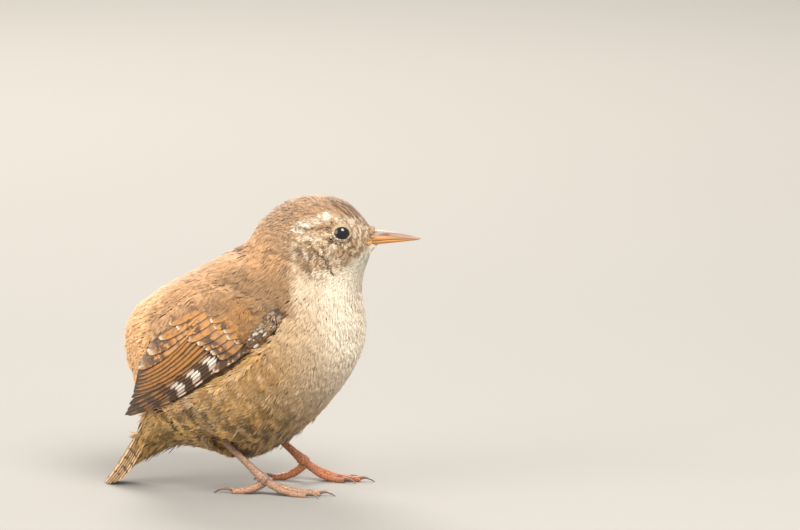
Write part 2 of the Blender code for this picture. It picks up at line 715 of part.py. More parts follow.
def leg(label, whole, skins):
    """Tarsus, foot and claws. The sole and the claws' tips are flat on the floor."""
    foot = LEGS[label]
    side = foot["side"]
    middle, heel = Vector(foot["ball"]) * MM, Vector(foot["heel"]) * MM
    shank = (heel - middle).normalized()
    path = [middle.lerp(heel, share) for share, _ in SHANK]
    radii = [TARSUS_RADIUS * wide for _, wide in SHANK]
    parting = middle + shank * FOOT_PARTING
    tarsus = tube("tarsus_" + label, path, radii, skins["leg"], 10)
    stub = tube("foot_" + label, path[:3], radii[:3], skins["leg"], 10)
    cut_across(tarsus, parting + shank * GAP / 2, -shank)
    cut_across(stub, parting - shank * GAP / 2, shank)
    pieces = [ball("ball", middle, (BALL_RADIUS, BALL_RADIUS, BALL_RADIUS * 0.9), skins["leg"], 12, 8)]
    for toe, (length, turn, thick, claw) in TOES.items():
        heading = math.radians(-side * turn)
        ahead = Vector((math.cos(heading), math.sin(heading), 0))
        radius = thick * MM
        line = toe_path(foot, heading, length * MM, radius * TOE_RISE)
        swelling = [TOE_SWELLING if i in TOE_JOINTS else 0.0 for i in range(TOE_STEPS + 1)]
        widths = [radius * (1 - TOE_TAPER * i / TOE_STEPS + more) for i, more in enumerate(swelling)]
        made = tube("toe", line, widths, skins["leg"])
        cut_across(made, line[-1] - ahead * CLAW_OVERLAP, ahead)
        pieces.append(made)
        nail = claw_path(line[-1] - ahead * CLAW_START, ahead, claw * MM + CLAW_START, radius * 0.3)
        nail_radii = [radius * wide for wide in CLAW_RADII]
        made = tube(f"claw_{label}_{toe}", nail, nail_radii, skins["claw"], 8, CLAW_FLATNESS)
        cut_across(made, line[-1] - ahead * CLAW_OVERLAP + ahead * GAP, -ahead)
        keep_largest(above_floor(made))
    boolean(stub, pieces, "UNION")
    keep_largest(above_floor(keep_largest(stub)))
    flesh = swollen(whole, GAP)
    if label == "right":
        boolean(flesh, [leg_hollow(foot, GAP, skins["plumage"])], "DIFFERENCE")
    boolean(tarsus, [flesh], "DIFFERENCE")
    keep_largest(tarsus)


def cut_across(obj, point, outward):
    """Removes what lies past a plane and closes the cut."""
    bm = bmesh.new()
    bm.from_mesh(obj.data)
    cut = bmesh.ops.bisect_plane(
        bm, geom=bm.verts[:] + bm.edges[:] + bm.faces[:], plane_co=point, plane_no=outward, clear_outer=True
    )
    edges = [e for e in cut["geom_cut"] if isinstance(e, bmesh.types.BMEdge)]
    bmesh.ops.triangle_fill(bm, edges=edges, use_beauty=True)
    bmesh.ops.recalc_face_normals(bm, faces=bm.faces)
    bm.to_mesh(obj.data)
    bm.free()


def stand_on_origin():
    """Moves the bird so that the middle of its box's floor is the origin."""
    low, high = Vector((1, 1, 1)), Vector((-1, -1, -1))
    for obj in PARTS.objects:
        for vertex in obj.data.vertices:
            low = Vector(map(min, low, vertex.co))
            high = Vector(map(max, high, vertex.co))
    shift = Vector(((low.x + high.x) / 2, (low.y + high.y) / 2, low.z))
    for obj in PARTS.objects:
        obj.data.transform(Matrix.Translation(-shift))
        obj.data.shade_smooth()
        obj.data.set_sharp_from_angle(angle=math.radians(40))
    print("moved by", [round(-s / MM, 4) for s in shift], "mm")


def main():
    skins = {
        "plumage": material("plumage", (0.46, 0.31, 0.17), 0.9),
        "wing": material("wing_feathers", (0.36, 0.19, 0.08), 0.75),
        "tail": material("tail_feathers", (0.42, 0.23, 0.11), 0.75),
        "bill": material("bill_horn", (0.60, 0.36, 0.17), 0.4),
        "eye": material("eye", (0.012, 0.009, 0.008), 0.05),
        "leg": material("leg_scales", (0.55, 0.28, 0.17), 0.5),
        "claw": material("claw_horn", (0.30, 0.22, 0.16), 0.35),
    }
    whole = body("body", skins["plumage"])
    bpy.context.view_layer.update()
    bill(whole, skins)
    tail(whole, skins)
    for label in LEGS:
        leg(label, whole, skins)
    carved = whole.copy()
    carved.data = whole.data.copy()
    PARTS.objects.link(carved)
    for side, label in ((-1, "right"), (1, "left")):
        wing(side, label, skins)
        boolean(carved, [wing_pocket(side, skins["plumage"])], "DIFFERENCE")
    boolean(carved, [leg_hollow(LEGS["right"], 0.0, skins["plumage"])], "DIFFERENCE")
    boolean(carved, [thin_cut(at, skins["plumage"]) for at in CUTS.values()], "DIFFERENCE")
    parts = part_body(carved, skins["plumage"])
    face_details(parts["head"], whole, skins)
    bpy.data.objects.remove(whole)
    stand_on_origin()


for leftover in list(bpy.data.objects):
    bpy.data.objects.remove(leftover)
PARTS = bpy.data.collections.new("wren")
bpy.context.scene.collection.children.link(PARTS)
main()
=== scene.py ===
"""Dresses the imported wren: skin and feather coat, wings, tail, bill, eyes and legs, in a plain studio.

The bird heads along +X, +Y is its left side, and it stands on the plane z = 0. Lengths are in metres.
"""
import math
import random

import bmesh
import bpy
import numpy as np
from bpy.props import FloatProperty, FloatVectorProperty, IntProperty, PointerProperty
from mathutils import Matrix, Vector, kdtree, noise
from mathutils.bvhtree import BVHTree


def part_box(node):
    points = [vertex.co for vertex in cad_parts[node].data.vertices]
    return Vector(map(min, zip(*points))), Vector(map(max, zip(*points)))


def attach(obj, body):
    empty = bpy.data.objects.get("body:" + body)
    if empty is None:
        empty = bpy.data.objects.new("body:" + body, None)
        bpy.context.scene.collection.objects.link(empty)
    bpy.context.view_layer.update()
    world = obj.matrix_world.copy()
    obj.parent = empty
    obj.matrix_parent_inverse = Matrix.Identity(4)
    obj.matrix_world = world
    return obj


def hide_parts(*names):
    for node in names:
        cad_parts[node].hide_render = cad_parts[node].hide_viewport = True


bl_info = {
    "name": "Wren",
    "version": (1, 0, 0),
    "blender": (4, 5, 0),
    "location": "3D View > Sidebar > Wren",
    "description": "Feathers and finishes of a life-size wren",
    "category": "Object",
}

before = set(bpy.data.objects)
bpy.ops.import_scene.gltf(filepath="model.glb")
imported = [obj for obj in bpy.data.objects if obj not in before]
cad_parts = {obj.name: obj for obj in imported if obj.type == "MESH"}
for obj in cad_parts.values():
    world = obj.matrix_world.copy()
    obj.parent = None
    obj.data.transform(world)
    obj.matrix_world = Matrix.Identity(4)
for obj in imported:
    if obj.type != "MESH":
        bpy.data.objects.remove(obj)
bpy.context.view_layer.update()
MM = 0.001
SIDES = {"right": -1, "left": 1}
SOFTNESS = 0.66
RAGGED = 0.26
FEATHER_THICKNESS = 0.06 * MM
FEATHER_DROOP = 0.08
LONGEST_SHORT = 4.2 * MM
# Distance between the roots of the coat's feathers: a share of their length, and what is added
SPACING_SHARE, SPACING_LEAST = 0.084, 0.13 * MM
# How far the feathers keep off the eyes and the corner of the mouth, and the space under a wing
EYE_CLEAR, GAPE_CLEAR, WING_CLEAR = 2.48 * MM, 0.42 * MM, 3.2 * MM
# How much neighbouring feathers turn together, and over what distance
SWIRL, SWIRL_SIZE = 0.42, 4.5 * MM
BILL_ROOT_FEATHERS, CHIN_FEATHERS, CUFF_FEATHERS = 52, 120, 14

# Places measured on the frame
FLESH = ("head", "neck", "torso", "rump")


def middle(node):
    low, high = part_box(node)
    return (low + high) / 2


BILL_ROOT = Vector((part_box("bill_upper")[0].x, 0, middle("bill_upper").z))
BILL_TIP = Vector((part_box("bill_upper")[1].x, 0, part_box("bill_upper")[0].z + 0.3 * MM))
EYE_CENTRES = {label: middle("eye_" + label) for label in SIDES}
EYE_RADIUS = (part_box("eye_right")[1].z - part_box("eye_right")[0].z) / 2
# The lid's section in mm: distance outside its opening, and height over the eye's surface there
LID_PROFILE = (
    (0.0, -0.08), (0.01, 0.05), (0.07, 0.12), (0.20, 0.14),
    (0.36, 0.06), (0.56, -0.12), (0.95, -0.60), (0.95, -1.1),
)
# How far the flesh nodes swell so that they merge over their gaps, in mm
GAP_CLOSING = 0.22
SKIN_CLEARANCE = 0.15 * MM
# The crease between nape and back, and how far it goes in
NAPE_CREASE = Vector((-2.6, 0, 56.0)) * MM
CREASE_DEPTH = 1.50 * MM
HEAD_CENTRE = (13.0, 56.0)

# The strokes of the markings and of a painted shade, seen from the side: two ends (x, z), half width and
# softness, in mm
STROKES = {
    "brow": ((7.4, 59.6), (15.2, 62.6), 0.45, 0.8),
    "over_lid": ((15.0, 62.5), (22.4, 60.9), 0.40, 0.7),
    "lores": ((20.6, 60.2), (23.6, 58.8), 0.7, 1.0),
    "before_eye": ((21.0, 62.4), (24.4, 60.4), 0.6, 1.4),
    "behind_eye": ((8.8, 59.6), (16.4, 59.7), 0.18, 0.40),
    "cheek": ((9.5, 54.2), (20.5, 55.0), 2.6, 3.6),
    "throat": ((27.5, 56.2), (22.0, 50.0), 1.0, 1.6),
    "forecrown": ((16.0, 66.8), (24.6, 61.6), 1.4, 1.2),
    "nape": ((3.0, 53.6), (14.6, 50.2), 0.8, 4.0),
    "shoulder": ((-6.5, 49.0), (3.5, 42.5), 2.2, 3.6),
    # This stroke is painted shade on the flank behind the shank, under the wing's tip.
    "shade_behind_shank": ((-18.5, 21.8), (-10.5, 18.5), 1.0, 2.8),
}
# Those of the line below the ear, each after its strength
EAR_STROKES = (
    (1.0, (11.9, 56.4), (15.1, 53.4), 0.05, 0.34),
    (1.0, (14.9, 53.8), (17.5, 49.6), 0.12, 0.34),
    (0.7, (13.3, 53.6), (16.1, 50.2), 0.02, 0.26),
    (0.7, (15.6, 53.6), (16.9, 51.6), 0.02, 0.24),
)
NOSTRIL = (26.6, 57.65), (28.6, 57.75), 0.14, 0.22
BELLY_BAR_PERIOD = 2.8
TAIL_TIP = Vector((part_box("tail")[0].x, 0, 0))
UNDER_TAIL_TIP = Vector((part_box("rump")[0].x + 1.6 * MM, 0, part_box("rump")[0].z))

# The wing's bend seen from the side, where upper and lower plumage part, in mm
BEND_X, BEND_Z = 4.8, 38.9
# The wing's own directions: a runs from the bend to the tip, b up towards the back, n off it
WING_BEND = Vector((4.83, 0, 38.9)) * MM
WING_TIP = Vector((-30.07, 0, 16.1)) * MM
WING_OUT = 20.6 * MM
WING_OUT_A = 15.0 * MM
WING_OUT_B = 2.5 * MM
WING_CURVE_FRONT = 0.0105 / MM
WING_CURVE_BACK = 0.0150 / MM
WING_CURVE_TIP = 0.0120 / MM
WING_TIP_A = 24.0 * MM
WING_CURVE_UP = 0.050 / MM
WING_TOP_EDGE = ((-3.0, 5.0), (3.0, 12.4), (10.4, 15.0), (19.0, 14.4), (27.0, 11.6))
# Rows of feathers between wing and back: number, root above the wing's top edge in mm, and how far
# its root, middle and tip are drawn down to the body
SCAPULAR_ROWS = (
    (0, 2.4, (1.0, 0.6, 0.2)),
    (1, 1.7, (1.0, 0.5, 0.0)),
    (2, 1.0, (0.9, 0.3, 0.0)),
    (3, 0.3, (0.6, 0.0, 0.0)),
    (4, -0.5, (0.0, 0.0, 0.0)),
    (5, -1.3, (0.0, 0.0, 0.0)),
    (0, 3.6, (1.0, 0.8, 0.5)),
    (1, 4.8, (1.0, 0.9, 0.8)),
)
SECONDARIES, TERTIALS, GREATER_COVERTS, MEDIAN_COVERTS, EDGE_FEATHERS = 6, 3, 8, 7, 3
# The spotted bend: its middle (a, b) in mm, and its rows and columns of tiny feathers
BEND_SPOTS = (0.6, 1.9)
BEND_ROWS, BEND_COLUMNS = 4, 9
WHITE_PATCH_PERIOD = 4.75
WHITE_PATCH_PHASE = 16.3
# Tips (a, b) of the seven primaries that show, from the outermost up, in mm
PRIMARY_TIPS = ((34.0, -0.9), (38.2, -0.5), (40.7, -0.1), (41.4, 0.4), (39.9, 1.1), (38.3, 2.1), (36.6, 3.2))
PRIMARY_WHITE = (1.2, 0.55, 0.95, 1.0, 0.70, 0.20, 0.0)

TAIL_ROOT = Vector((-24.47, 0.0, 19.4)) * MM
TAIL_END = Vector((-35.77, 0.0, 0.25)) * MM
TAIL_PAIRS = 6

LEGS = {
    "right": {"ball": (2.33, -9.9, 3.0), "heel": (-10.27, -10.4, 15.2), "cuff": 0.05},
    "left": {"ball": (8.53, 9.3, 3.9), "heel": (-4.47, 8.4, 15.6), "cuff": 0.30},
}
# The shank's radius, and its share of it from the ball of the foot (0) to the heel (1)
SHANK_RADIUS = 0.82 * MM
SHANK_SHAPE = ((0, 1.5), (0.08, 1.5), (0.16, 1.15), (0.28, 0.98), (0.5, 0.90), (0.8, 1.0), (1.0, 1.25))
# Length, heading in degrees towards the bird's inner side, radius at the root, in mm
TOES = {
    "inner": (8.8, 13.0, 0.72),
    "middle": (12.0, 1.0, 0.80),
    "outer": (9.4, -13.0, 0.72),
    "hind": (7.2, 176.0, 0.84),
}
# How many rings or points the smaller shapes are drawn with
GAPE_STEPS, BILL_STEPS, LID_STEPS, SHANK_STEPS, TOE_STEPS, LIMB_SIDES = 12, 32, 64, 64, 48, 18

# The photo's framing: its scale, the point at the picture's middle, and the view's direction
PHOTO_WIDTH = 800
PIXELS_PER_MM = 4.5
VIEW_CENTRE = Vector((31.1, 0, 50.85)) * MM
VIEW_AZIMUTH = 8.0
VIEW_ELEVATION = 9.0
CAMERA_DISTANCE = 2.0
SENSOR = 36.0

FLOOR_RADIUS = 6.0
SKY_COLOUR, SKY_STRENGTH = (1.0, 0.985, 0.965, 1.0), 0.84
# Name, place, width, power and colour of each soft light, which all face the bird's middle
LIGHTS = (
    ("key", (0.36, -0.52, 0.70), 0.5, 12.0, (1.0, 0.985, 0.96)),
    ("fill", (-0.85, -0.60, 0.35), 0.9, 10.5, (1.0, 0.98, 0.95)),
    ("back", (-0.25, 0.75, 0.65), 0.5, 10.0, (1.0, 0.96, 0.90)),
)
LIT_POINT = Vector((0, 0, 0.03))


def paint(red, green, blue):
    """A colour given as it looks on a screen, 11 to 255, made linear."""
    return tuple(((c / 255 + 0.055) / 1.055) ** 2.4 for c in (red, green, blue))


# Small finishes that no property changes, as linear colours
BLACK = (0.0, 0.0, 0.0)
PUPIL, IRIS = (0.004, 0.004, 0.005), (0.030, 0.016, 0.009)
# On the next two lines, the nostril's dark is painted shade in its slit, and the bill's pale ridge colour is
# a painted highlight.
SHAFT_BROWN, BILL_TIP_BROWN, NOSTRIL_SHADE = (0.10, 0.055, 0.03), (0.26, 0.17, 0.11), (0.12, 0.06, 0.04)
KEEL_YELLOW, RIDGE_HIGHLIGHT = (0.80, 0.62, 0.40), paint(190, 160, 146)
SOFT_SHEEN = {"specular_ior_level": 0.25, "sheen_weight": 0.25, "sheen_roughness": 0.5}


def colour(name, description, default):
    return FloatVectorProperty(
        name=name, description=description, subtype="COLOR", size=3, min=0.0, max=1.0, default=default
    )


class WrenSizes(bpy.types.PropertyGroup):
    coat_depth: FloatProperty(
        name="Coat depth", description="How far the skin lies under the body's outline", default=1.25 * MM,
        unit="LENGTH",
    )
    face_depth: FloatProperty(
        name="Face depth", description="The same beside the bill and the eyes", default=0.34 * MM,
        unit="LENGTH",
    )
    body_feather: FloatProperty(
        name="Body feather", description="Length of a feather on breast, back and flank", default=6.8 * MM,
        unit="LENGTH",
    )
    face_feather: FloatProperty(
        name="Face feather", description="Length of a feather at the bill", default=1.3 * MM, unit="LENGTH"
    )
    voxel: FloatProperty(name="Voxel", description="Fineness of the skin", default=0.45 * MM, unit="LENGTH")
    body_barbs: IntProperty(name="Body barbs", description="Barbs on each side of a body feather", default=8)
    face_barbs: IntProperty(name="Face barbs", description="Barbs on each side of a small feather", default=5)


class WrenColours(bpy.types.PropertyGroup):
    back: colour("Back", "Mantle and rump", paint(196, 150, 106))
    rump: colour("Rump", "Fluffed feathers of the rump", paint(232, 178, 124))
    crown: colour("Crown", "Crown and nape", paint(168, 134, 102))
    dark: colour("Dark marks", "Streaks and smudges", paint(70, 50, 34))
    brow: colour("Brow", "Stripe over the eye", paint(240, 231, 210))
    cheek: colour("Cheek", "Pale part of the ear coverts", paint(186, 154, 116))
    breast: colour("Breast", "Throat and breast", paint(247, 230, 204))
    buff: colour("Buff", "Sides of the breast", paint(198, 172, 140))
    flank: colour("Flank", "Flanks and belly", paint(184, 141, 86))
    vent: colour("Vent", "Vent and under the tail", paint(224, 174, 84))
    scapular: colour("Shoulder", "Shoulder and lesser coverts", paint(142, 110, 76))
    rufous: colour("Rufous", "Edges of the wing feathers", paint(188, 124, 48))
    dusky: colour("Dusky", "Inner webs and dark bars", paint(64, 46, 35))
    white: colour("White", "Patches on the outer primaries", paint(234, 224, 210))
    tail: colour("Tail", "Tail feathers", paint(240, 194, 142))
    horn: colour("Culmen", "Ridge of the bill", paint(134, 106, 92))
    orange: colour("Bill sides", "Sides and root of the bill", paint(196, 138, 80))
    leg: colour("Leg", "Scales of legs and toes", paint(162, 128, 102))
    warm_leg: colour("Warm leg", "Lit-through scales of the left leg", paint(184, 108, 62))
    claw: colour("Claw", "Claws", paint(88, 70, 58))
    floor: colour("Floor", "Studio floor", paint(150, 146, 140))


def math_node(operation):
    """An operator of Field that adds one Math node."""
    return lambda field, *others: field.graph.maths(operation, field, *others)


class Field:
    """A socket of a material's nodes. Sums on fields add their Math nodes."""

    __add__ = __radd__ = math_node("ADD")
    __sub__ = math_node("SUBTRACT")
    __mul__ = __rmul__ = math_node("MULTIPLY")
    __abs__ = math_node("ABSOLUTE")
    sine, cosine = math_node("SINE"), math_node("COSINE")
    root, angle_from = math_node("SQRT"), math_node("ARCTAN2")

    def __init__(self, graph, socket):
        self.graph, self.socket = graph, socket

    def __rsub__(self, other):
        return self.graph.maths("SUBTRACT", other, self)

    def __neg__(self):
        return self * -1.0

    def most(self, *others):
        """The highest of several masks, so that marks join without adding up."""
        highest = self
        for other in others:
            highest = self.graph.maths("MAXIMUM", highest, other)
        return highest

    def between(self, start, end, low=0.0, high=1.0):
        """A soft step from low at start to high at end."""
        sockets = {"Value": self, "From Min": start, "From Max": end, "To Min": low, "To Max": high}
        return self.graph.node("ShaderNodeMapRange", {"interpolation_type": "SMOOTHSTEP"}, sockets)


class Graph:
    """A material and the one way in which its nodes are added."""

    def __init__(self, name, **constants):
        self.material = bpy.data.materials.new(name)
        self.material.use_nodes = True
        self.nodes, self.links = self.material.node_tree.nodes, self.material.node_tree.links
        self.shader = self.nodes["Principled BSDF"]
        for socket, value in constants.items():
            self.shader.inputs[socket.replace("_", " ").title().replace("Ior", "IOR")].default_value = value

    def node(self, kind, settings=None, sockets=(), output=0):
        made = self.nodes.new(kind)
        for key, value in (settings or {}).items():
            setattr(made, key, value)
        for key, value in sockets.items() if isinstance(sockets, dict) else enumerate(sockets):
            if isinstance(value, Field):
                self.links.new(value.socket, made.inputs[key])
            else:
                made.inputs[key].default_value = value
        return Field(self, made.outputs[output])

    def maths(self, operation, *values):
        return self.node("ShaderNodeMath", {"operation": operation}, values)

    def mix(self, first, second, share):
        """Two colours mixed. Each is a field, a tuple or the name of one of the scene's colours."""
        ends = (tint(c) if isinstance(c, str) else c for c in (first, second))
        first, second = ((*c, 1.0) if isinstance(c, tuple) else c for c in ends)
        return self.node("ShaderNodeMix", {"data_type": "RGBA"}, {0: share, 6: first, 7: second}, 2)

    def over(self, base, *layers):
        """Colours laid one over the other, each as far as its share says."""
        for layer, share in layers:
            base = self.mix(base, layer, share)
        return base

    def shaded(self, base, light):
        return self.mix(BLACK, base, light)

    def noise(self, vector, scale, detail=2.0):
        return self.node("ShaderNodeTexNoise", {}, {"Vector": vector, "Scale": scale, "Detail": detail})

    def grain_along(self, vector, along, across):
        """Noise drawn out along x, as in horn."""
        factors = (along, across, across)
        stretched = self.node("ShaderNodeVectorMath", {"operation": "MULTIPLY"}, [vector, factors])
        return self.noise(stretched, 1.0, 3.0)

    def attribute(self, name, output=1):
        return self.node("ShaderNodeAttribute", {"attribute_name": name}, output=output)

    def parts(self, vector):
        split = self.node("ShaderNodeSeparateXYZ", {}, [vector]).socket.node
        return [Field(self, socket) for socket in split.outputs]

    def mm(self, vector):
        """The parts of a place, in mm."""
        return [part * (1 / MM) for part in self.parts(vector)]

    def place(self):
        return self.node("ShaderNodeTexCoord", output=3)

    def feather_facts(self):
        """What a coat's mesh carries: a feather's place, along, across and tone on it, and its chance."""
        return self.attribute("spot"), *self.parts(self.attribute("feather")), self.attribute("chance", 2)

    def finish(self, base, roughness=None, height=None, distance=0.1 * MM, strength=0.5):
        self.links.new(base.socket, self.shader.inputs["Base Color"])
        if roughness:
            self.links.new(roughness.socket, self.shader.inputs["Roughness"])
        if height:
            sockets = {"Height": height, "Distance": distance, "Strength": strength}
            bump = self.node("ShaderNodeBump", {}, sockets)
            self.links.new(bump.socket, self.shader.inputs["Normal"])
        return self.material


def tint(name):
    return tuple(getattr(bpy.context.scene.wren_colours, name))


def headwards(x, z):
    """How far a place lies up and ahead, seen from the side. The head begins at about 46 mm."""
    return x * 0.62 + z * 0.78


def near_line(x, z, start, end, half_width, soft):
    """1 on the stroke between two points (x, z) in mm seen from the side, and 0 away from it."""
    (x0, z0), (x1, z1) = start, end
    length = math.hypot(x1 - x0, z1 - z0)
    ux, uz = (x1 - x0) / length, (z1 - z0) / length
    along = (x - x0) * ux + (z - z0) * uz
    off = abs((z - z0) * ux - (x - x0) * uz)
    past = abs(along - length / 2) - length / 2
    return off.between(half_width + soft, half_width) * past.between(soft * 1.6, 0.0)


def face_lines(graph, fine):
    """The fine dark lines behind the eye and below the ear, which cross the feathers."""
    x, _, z = graph.mm(graph.place())
    grain = graph.noise(graph.place(), 1600.0, 1.0)
    bent_x, bent_z = x + (grain - 0.5) * 1.6, z + (fine - 0.5) * 1.2
    first, *others = (near_line(bent_x, bent_z, *stroke) * share for share, *stroke in EAR_STROKES)
    behind_eye = near_line(x, z, *STROKES["behind_eye"]) * grain.between(0.38, 0.50, 0.2, 1.0)
    return behind_eye, first.most(*others) * grain.between(0.30, 0.46, 0.45, 1.0)


def crown_streaks(graph):
    """Streaks that run from the bill over the crown, on circles about the middle of the head."""
    x, y, z = graph.mm(graph.place())
    off_x, off_z = x - HEAD_CENTRE[0], z - HEAD_CENTRE[1]
    ring, arc = (off_x * off_x + off_z * off_z).root() * 2.1, off_z.angle_from(off_x) * 2.9
    return graph.noise(graph.node("ShaderNodeCombineXYZ", {}, [ring, arc, y * 2.3]), 1.0)


def plumage_colour(graph, root, along, across, tone, chance):
    """The bird's markings where a feather shows, with the marks that each feather carries on itself."""
    x, side, z = graph.mm(root)
    y = abs(side)
    broad, fine = graph.noise(root, 240.0), graph.noise(root, 620.0)
    scallop, mottle = graph.noise(root, 1450.0, 1.0), graph.noise(root, 760.0, 1.0)
    edge = (broad - 0.5) * 5.0

    def stroke(name):
        return near_line(x, z, *STROKES[name])

    # Parts of the bird, 1 inside and 0 outside
    below = (x - BEND_X) * 0.61 + (BEND_Z - z) * 0.79 + edge * 0.6
    collar = (x + edge * 0.4).between(7.4, 9.8) * (z - edge * 0.4).between(52.0, 49.6) * z.between(39.0, 46.0)
    under = below.between(-2.0, 2.6).most(collar * 0.9)
    head = headwards(x, z).between(44.0, 48.5)
    low = (z + edge).between(32.0, 14.0)
    ahead = x + (z - 30.0) * 0.15 + edge
    pale = ahead.between(3.0, 15.5)
    buff = (ahead + low * 5.0).between(3.0, 15.5).most(collar)
    buff = buff.most(below.between(12.0, 2.0) * (x + edge).between(1.0, 9.0) * 0.7)
    bright = (x + (z - 34.0) * 0.15 + edge * 0.5 - y * 0.35).between(6.8, 17.6)
    bright = bright * (z + edge).between(22.0, 34.0, 0.50, 1.0)
    bright = bright.most(collar * below.between(-9.0, 0.0) * 0.45)
    rear = (x + edge).between(-6.0, -15.0) * (z + edge * 0.5).between(22.0, 13.0)
    flank = under * (1.0 - pale) * (1.0 - head)
    shoulder = (y + edge * 0.5).between(10.5, 15.5) * (x + edge).between(-19.0, -10.0)
    shoulder = shoulder.most(stroke("shoulder") * y.between(8.0, 12.0) * 0.9)

    # Plain colours, and the pale marks of the head
    upper = graph.over(
        "back",
        ("rump", (x + edge).between(-16.0, -25.0) * 0.8),
        ("scapular", shoulder),
        ("crown", (x * 0.6 + z * 0.8).between(44.0, 50.0) * 0.9),
    )
    vent = rear.most(low * 0.5 * (1.0 - pale)) * 0.75
    lower = graph.over("flank", ("buff", buff), ("breast", bright), ("vent", vent))
    cheek, throat = stroke("cheek"), stroke("throat")
    brow = stroke("brow") * y.between(2.5, 4.0)
    brow = brow * graph.noise(root, 1100.0, 1.0).between(0.40, 0.54, 0.10, 0.75)
    lores = stroke("lores") * scallop.between(0.42, 0.55) * 0.4
    over_lid = stroke("over_lid") * scallop.between(0.40, 0.52) * 0.40
    base = graph.over(
        upper,
        (lower, under),
        ("cheek", cheek * 0.8),
        ("brow", cheek * scallop.between(0.53, 0.60) * x.between(7.0, 11.0, 0.15, 0.50)),
        ("brow", brow.most(lores, over_lid)),
        ("brow", throat * 0.85),
    )

    # Dark marks of the head, of the flanks and belly, and of the rest, with painted shade on the forecrown
    # and behind the shank
    fore, streaks = stroke("forecrown"), crown_streaks(graph)
    behind_eye, ear = face_lines(graph, fine)
    top = head * (1.0 - under) * (1.0 - brow) * (1.0 - throat)
    # On the forecrown the streaks are the bird's own, and the even darkening under them is painted shade on
    # the lit forehead.
    head_marks = (top * streaks.between(0.50, 0.60) * (0.50 + 0.40 * fore)).most(
        top * fore * streaks.between(0.42, 0.52, 0.12, 0.85),
        head * cheek * scallop.between(0.50, 0.42) * 0.80,
        stroke("nape") * (1.0 - throat) * graph.noise(root, 1500.0, 1.0).between(0.53, 0.44) * 0.70,
        stroke("before_eye") * scallop.between(0.50, 0.42) * 0.55,
        behind_eye * 0.85,
        ear * y.between(3.0, 5.0),
    )
    bars = ((x * 0.75 + z * 0.60 + edge * 0.55) * (2 * math.pi / BELLY_BAR_PERIOD)).sine()
    broken = fine.between(0.40, 0.54)
    dark_tip = (chance + (broad - 0.5) * 1.8).between(0.50, 0.80)
    flank_marks = (along.between(0.45, 0.75) * dark_tip * (0.30 + 0.52 * low)).most(
        graph.noise(root, 430.0, 1.0).between(0.52, 0.60) * (0.12 + 0.60 * low),
        mottle.between(0.53, 0.61) * low * 0.80,
        bars.between(0.05, 0.70) * broken * (0.36 + 0.62 * low),
    )
    # Painted shade on the flank behind the shank, under the wing's tip.
    hollow = stroke("shade_behind_shank") * under * fine.between(0.32, 0.52, 0.35, 0.92)
    shafts = abs(across).between(0.42, 0.08) * along.between(0.15, 0.4) * chance.between(0.35, 0.85)
    dark = head_marks.most(flank_marks * flank, hollow, (1.0 - under) * (1.0 - head) * shafts * 0.18)
    pale_marks = (along.between(0.88, 1.0) * (1.0 - dark_tip) * 0.45).most(
        bars.between(-0.30, -0.90) * broken * (0.18 + 0.32 * low),
        mottle.between(0.46, 0.38) * low * 0.60,
    )
    tip_tint = graph.mix("breast", "vent", low * 0.6)
    base = graph.over(base, ("dark", dark * 0.92), (tip_tint, pale_marks * flank * 0.78))

    # Painted shade and tone: strands darker at random, partly their own tone and partly painted shade in the
    # gaps between barbs, faint on the pale breast; and every feather darker towards its root, where the down
    # is grey.
    depth = 0.30 - 0.24 * under * bright.most(pale * 0.7)
    light = (1.08 - tone * tone * depth) * (0.93 + fine * 0.14)
    return graph.shaded(base, light * along.between(0.0, 0.60, 0.82 + 0.12 * under * pale, 1.0))


def plumage_material(name, feathered):
    """The coat's material, or with feathered false the skin's, with the same markings."""
    graph = Graph(name, roughness=0.72, **SOFT_SHEEN)
    if feathered:
        return graph.finish(plumage_colour(graph, *graph.feather_facts()))
    root = graph.place()
    strands, flat = graph.noise(root, 3000.0, 3.0), graph.noise(root, 900.0)
    base = plumage_colour(graph, root, flat * 0.2 + 0.62, flat - 0.5, strands * 0.6, flat)
    # The skin under the coat is painted a little darker, as shade of the feathers over it.
    return graph.finish(graph.shaded(base, 0.94), height=strands, distance=0.2 * MM)


def wing_plumage_material():
    """Small feathers of the wing: grey-brown on the shoulder, with flecks and painted shade along the lower
    edge.
    """
    graph = Graph("wing_plumage", roughness=0.7, **SOFT_SHEEN)
    root, along, across, tone, chance = graph.feather_facts()
    x, _, z = graph.mm(root)
    broad = graph.noise(root, 300.0)
    from_edge = (z - BEND_Z) * 0.83 - (x - BEND_X) * 0.55
    warm = (broad * 9.0 + (BEND_X - x) * 0.5).between(4.5, 9.0) * from_edge.between(10.0, 5.0)
    fleck = graph.noise(root, 700.0, 1.0).between(0.44, 0.58) * chance.between(0.15, 0.5)
    fleck = fleck * (x + 2.0).between(2.0, -4.0, 0.35, 1.0)
    # Painted shade along the wing's lower edge behind the bend.
    lower_edge_shade = from_edge.between(3.4, 0.8) * (0.30 + 0.40 * broad) * (x - 3.0).between(-1.0, -6.0)
    shaft = abs(across).between(0.40, 0.05) * along.between(0.2, 0.5) * chance.between(0.2, 0.8)
    base = graph.over(
        "scapular",
        ("rufous", warm * 0.45),
        ("back", from_edge.between(9.5, 14.0) * 0.85),
        ("dark", along.between(0.60, 0.72) * along.between(0.95, 0.82) * fleck * 0.70),
        ("brow", along.between(0.86, 0.96) * fleck * 0.65),
        ("dark", lower_edge_shade),
        ("dark", shaft * 0.34),
    )
    # Strands darker at random, partly their own tone and partly painted shade between barbs, and each feather
    # darker towards its grey root.
    light = (1.08 - tone * tone * 0.36) * along.between(0.0, 0.60, 0.75, 1.0) * (0.90 + chance * 0.18)
    return graph.finish(graph.shaded(base, light))


